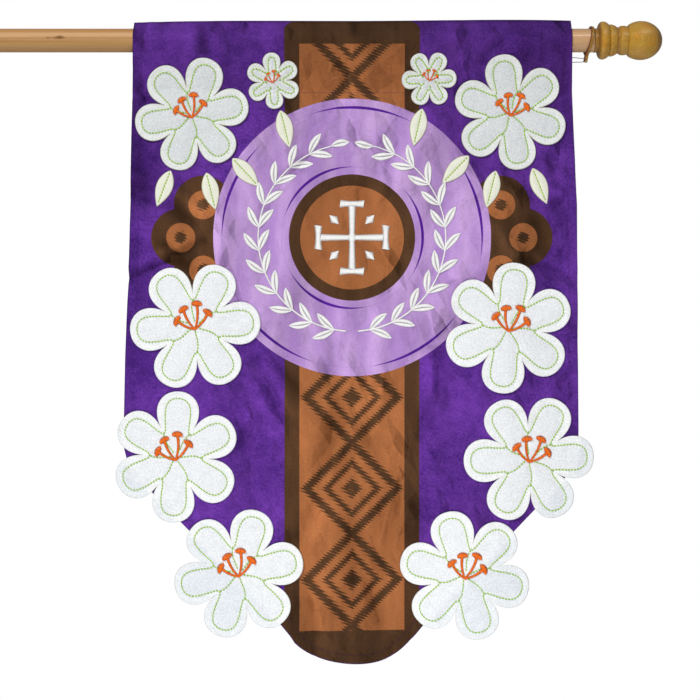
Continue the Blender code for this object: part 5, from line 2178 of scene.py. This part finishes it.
def make_studio(look):
    """Camera, soft lights, white room light and a pale floor."""
    studio = look.studio
    scene = bpy.context.scene
    lens = bpy.data.cameras.new("camera")
    lens.lens = LENS
    lens.sensor_width = SENSOR
    lens.clip_end = FAR_CLIP
    camera = bpy.data.objects.new("camera", lens)
    camera.location = (studio.camera_x, -studio.camera_distance, -studio.camera_drop)
    camera.rotation_euler = (QUARTER_TURN, 0.0, 0.0)
    scene.collection.objects.link(camera)
    scene.camera = camera
    for name, spot, size, glossy in LAMPS:
        lamp = soft_light(name, spot, size, getattr(studio, name + "_power"))
        lamp.visible_glossy = glossy
    make_floor(studio)
    room_light(studio)
    scene.view_settings.view_transform = "Standard"
    scene.view_settings.look = "None"


def soft_light(name, spot, size, power):
    lamp = bpy.data.lights.new(name, "AREA")
    lamp.shape = "ELLIPSE"
    lamp.size, lamp.size_y = size
    lamp.energy = power
    light = bpy.data.objects.new(name, lamp)
    light.location = spot
    light.rotation_euler = (Vector(LAMP_TARGET) - Vector(spot)).to_track_quat("-Z", "Y").to_euler()
    bpy.context.scene.collection.objects.link(light)
    return light


def make_floor(studio):
    """A pale floor well below the banner."""
    select_only()
    bpy.ops.mesh.primitive_plane_add(size=FLOOR_SIZE, location=(CENTRE_X, 0.0, -studio.floor_drop))
    floor = start_piece("studio_floor")
    bpy.ops.object.mode_set(mode="OBJECT")
    brush = Brush("studio_floor")
    cloud = brush.noise(brush.object_place(), 3.0, 4.0)
    floor.data.materials.append(brush.finish(brush.shaded(studio.floor, 0.97 + cloud * 0.05), 0.8))


def room_light(studio):
    """White behind everything, and a dimmer white that lights the banner."""
    world = bpy.data.worlds.new("studio")
    world.use_nodes = True
    tree = world.node_tree
    tree.nodes.clear()

    def white(strength):
        node = tree.nodes.new("ShaderNodeBackground")
        node.inputs["Strength"].default_value = strength
        node.inputs["Color"].default_value = (1.0, 1.0, 1.0, 1.0)
        return node.outputs[0]

    path = tree.nodes.new("ShaderNodeLightPath")
    mix = tree.nodes.new("ShaderNodeMixShader")
    out = tree.nodes.new("ShaderNodeOutputWorld")
    tree.links.new(path.outputs["Is Camera Ray"], mix.inputs[0])
    tree.links.new(white(studio.ambient), mix.inputs[1])
    tree.links.new(white(1.0), mix.inputs[2])
    tree.links.new(mix.outputs[0], out.inputs[0])
    bpy.context.scene.world = world


# The add-on's operators and panel


class BANNER_OT_cloth(bpy.types.Operator):
    """Makes the printed cloth with its hems and sleeve"""

    bl_idname = "banner.cloth"
    bl_label = "Printed Cloth"

    def execute(self, context):
        make_cloth(context.scene.banner)
        return {"FINISHED"}


class BANNER_OT_blossoms(bpy.types.Operator):
    """Makes the ten felt blossoms"""

    bl_idname = "banner.blossoms"
    bl_label = "Felt Blossoms"

    def execute(self, context):
        make_blossoms(context.scene.banner)
        return {"FINISHED"}


class BANNER_OT_leaves(bpy.types.Operator):
    """Makes the eight satin leaves"""

    bl_idname = "banner.leaves"
    bl_label = "Satin Leaves"

    def execute(self, context):
        make_leaves(context.scene.banner)
        return {"FINISHED"}


class BANNER_OT_petal_stitches(bpy.types.Operator):
    """Sews the green running stitches on the blossoms and leaves"""

    bl_idname = "banner.petal_stitches"
    bl_label = "Petal Stitches"

    def execute(self, context):
        make_petal_stitches(context.scene.banner)
        return {"FINISHED"}


class BANNER_OT_stamens(bpy.types.Operator):
    """Embroiders the orange stamens"""

    bl_idname = "banner.stamens"
    bl_label = "Stamens"

    def execute(self, context):
        make_stamens(context.scene.banner)
        return {"FINISHED"}


class BANNER_OT_embroidery(bpy.types.Operator):
    """Embroiders the white wreath and cross"""

    bl_idname = "banner.embroidery"
    bl_label = "Wreath and Cross"

    def execute(self, context):
        make_embroidery(context.scene.banner)
        return {"FINISHED"}


class BANNER_OT_hem_stitches(bpy.types.Operator):
    """Sews the hems and the sleeve's seam"""

    bl_idname = "banner.hem_stitches"
    bl_label = "Hem Stitches"

    def execute(self, context):
        make_hem_stitches(context.scene.banner)
        return {"FINISHED"}


class BANNER_OT_pole(bpy.types.Operator):
    """Turns the wooden pole"""

    bl_idname = "banner.pole"
    bl_label = "Pole"

    def execute(self, context):
        make_pole(context.scene.banner)
        return {"FINISHED"}


class BANNER_OT_finial(bpy.types.Operator):
    """Turns the finial with its beads and ball"""

    bl_idname = "banner.finial"
    bl_label = "Finial"

    def execute(self, context):
        make_finial(context.scene.banner)
        return {"FINISHED"}


class BANNER_OT_clip(bpy.types.Operator):
    """Makes the clip ring, its wire loop and the webbing tab"""

    bl_idname = "banner.clip"
    bl_label = "Clip Ring and Wire"

    def execute(self, context):
        make_ring(context.scene.banner)
        make_wire(context.scene.banner)
        make_tab(context.scene.banner)
        return {"FINISHED"}


class BANNER_OT_studio(bpy.types.Operator):
    """Sets up the floor, the lights and the camera"""

    bl_idname = "banner.studio"
    bl_label = "Studio"

    def execute(self, context):
        make_studio(context.scene.banner)
        return {"FINISHED"}


STEPS = (
    BANNER_OT_cloth,
    BANNER_OT_blossoms,
    BANNER_OT_leaves,
    BANNER_OT_petal_stitches,
    BANNER_OT_stamens,
    BANNER_OT_embroidery,
    BANNER_OT_hem_stitches,
    BANNER_OT_pole,
    BANNER_OT_finial,
    BANNER_OT_clip,
    BANNER_OT_studio,
)
LOOKS = (ClothLook, FeltLook, ThreadLook, WoodLook, StudioLook, BannerLook)


class BANNER_PT_pieces(bpy.types.Panel):
    """Lists the banner's pieces and their settings"""

    bl_idname = "BANNER_PT_pieces"
    bl_label = "Church Banner"
    bl_space_type = "VIEW_3D"
    bl_region_type = "UI"
    bl_category = "Banner"

    def draw(self, context):
        for step in STEPS:
            self.layout.operator(step.bl_idname)
        banner = context.scene.banner
        for group in (banner.cloth, banner.felt, banner.thread, banner.wood, banner.studio):
            box = self.layout.box()
            for setting in group.bl_rna.properties.keys():
                if setting not in ("rna_type", "name"):
                    box.prop(group, setting)


def register():
    for made in (*LOOKS, *STEPS, BANNER_PT_pieces):
        bpy.utils.register_class(made)
    bpy.types.Scene.banner = bpy.props.PointerProperty(
        type=BannerLook, name="Banner", description="Settings of the church banner")


def unregister():
    del bpy.types.Scene.banner
    for made in reversed((*LOOKS, *STEPS, BANNER_PT_pieces)):
        bpy.utils.unregister_class(made)


def main():
    register()
    bpy.ops.banner.cloth()
    bpy.ops.banner.blossoms()
    bpy.ops.banner.leaves()
    bpy.ops.banner.petal_stitches()
    bpy.ops.banner.stamens()
    bpy.ops.banner.embroidery()
    bpy.ops.banner.hem_stitches()
    bpy.ops.banner.pole()
    bpy.ops.banner.finial()
    bpy.ops.banner.clip()
    bpy.ops.banner.studio()


if __name__ == "__main__":
    main()
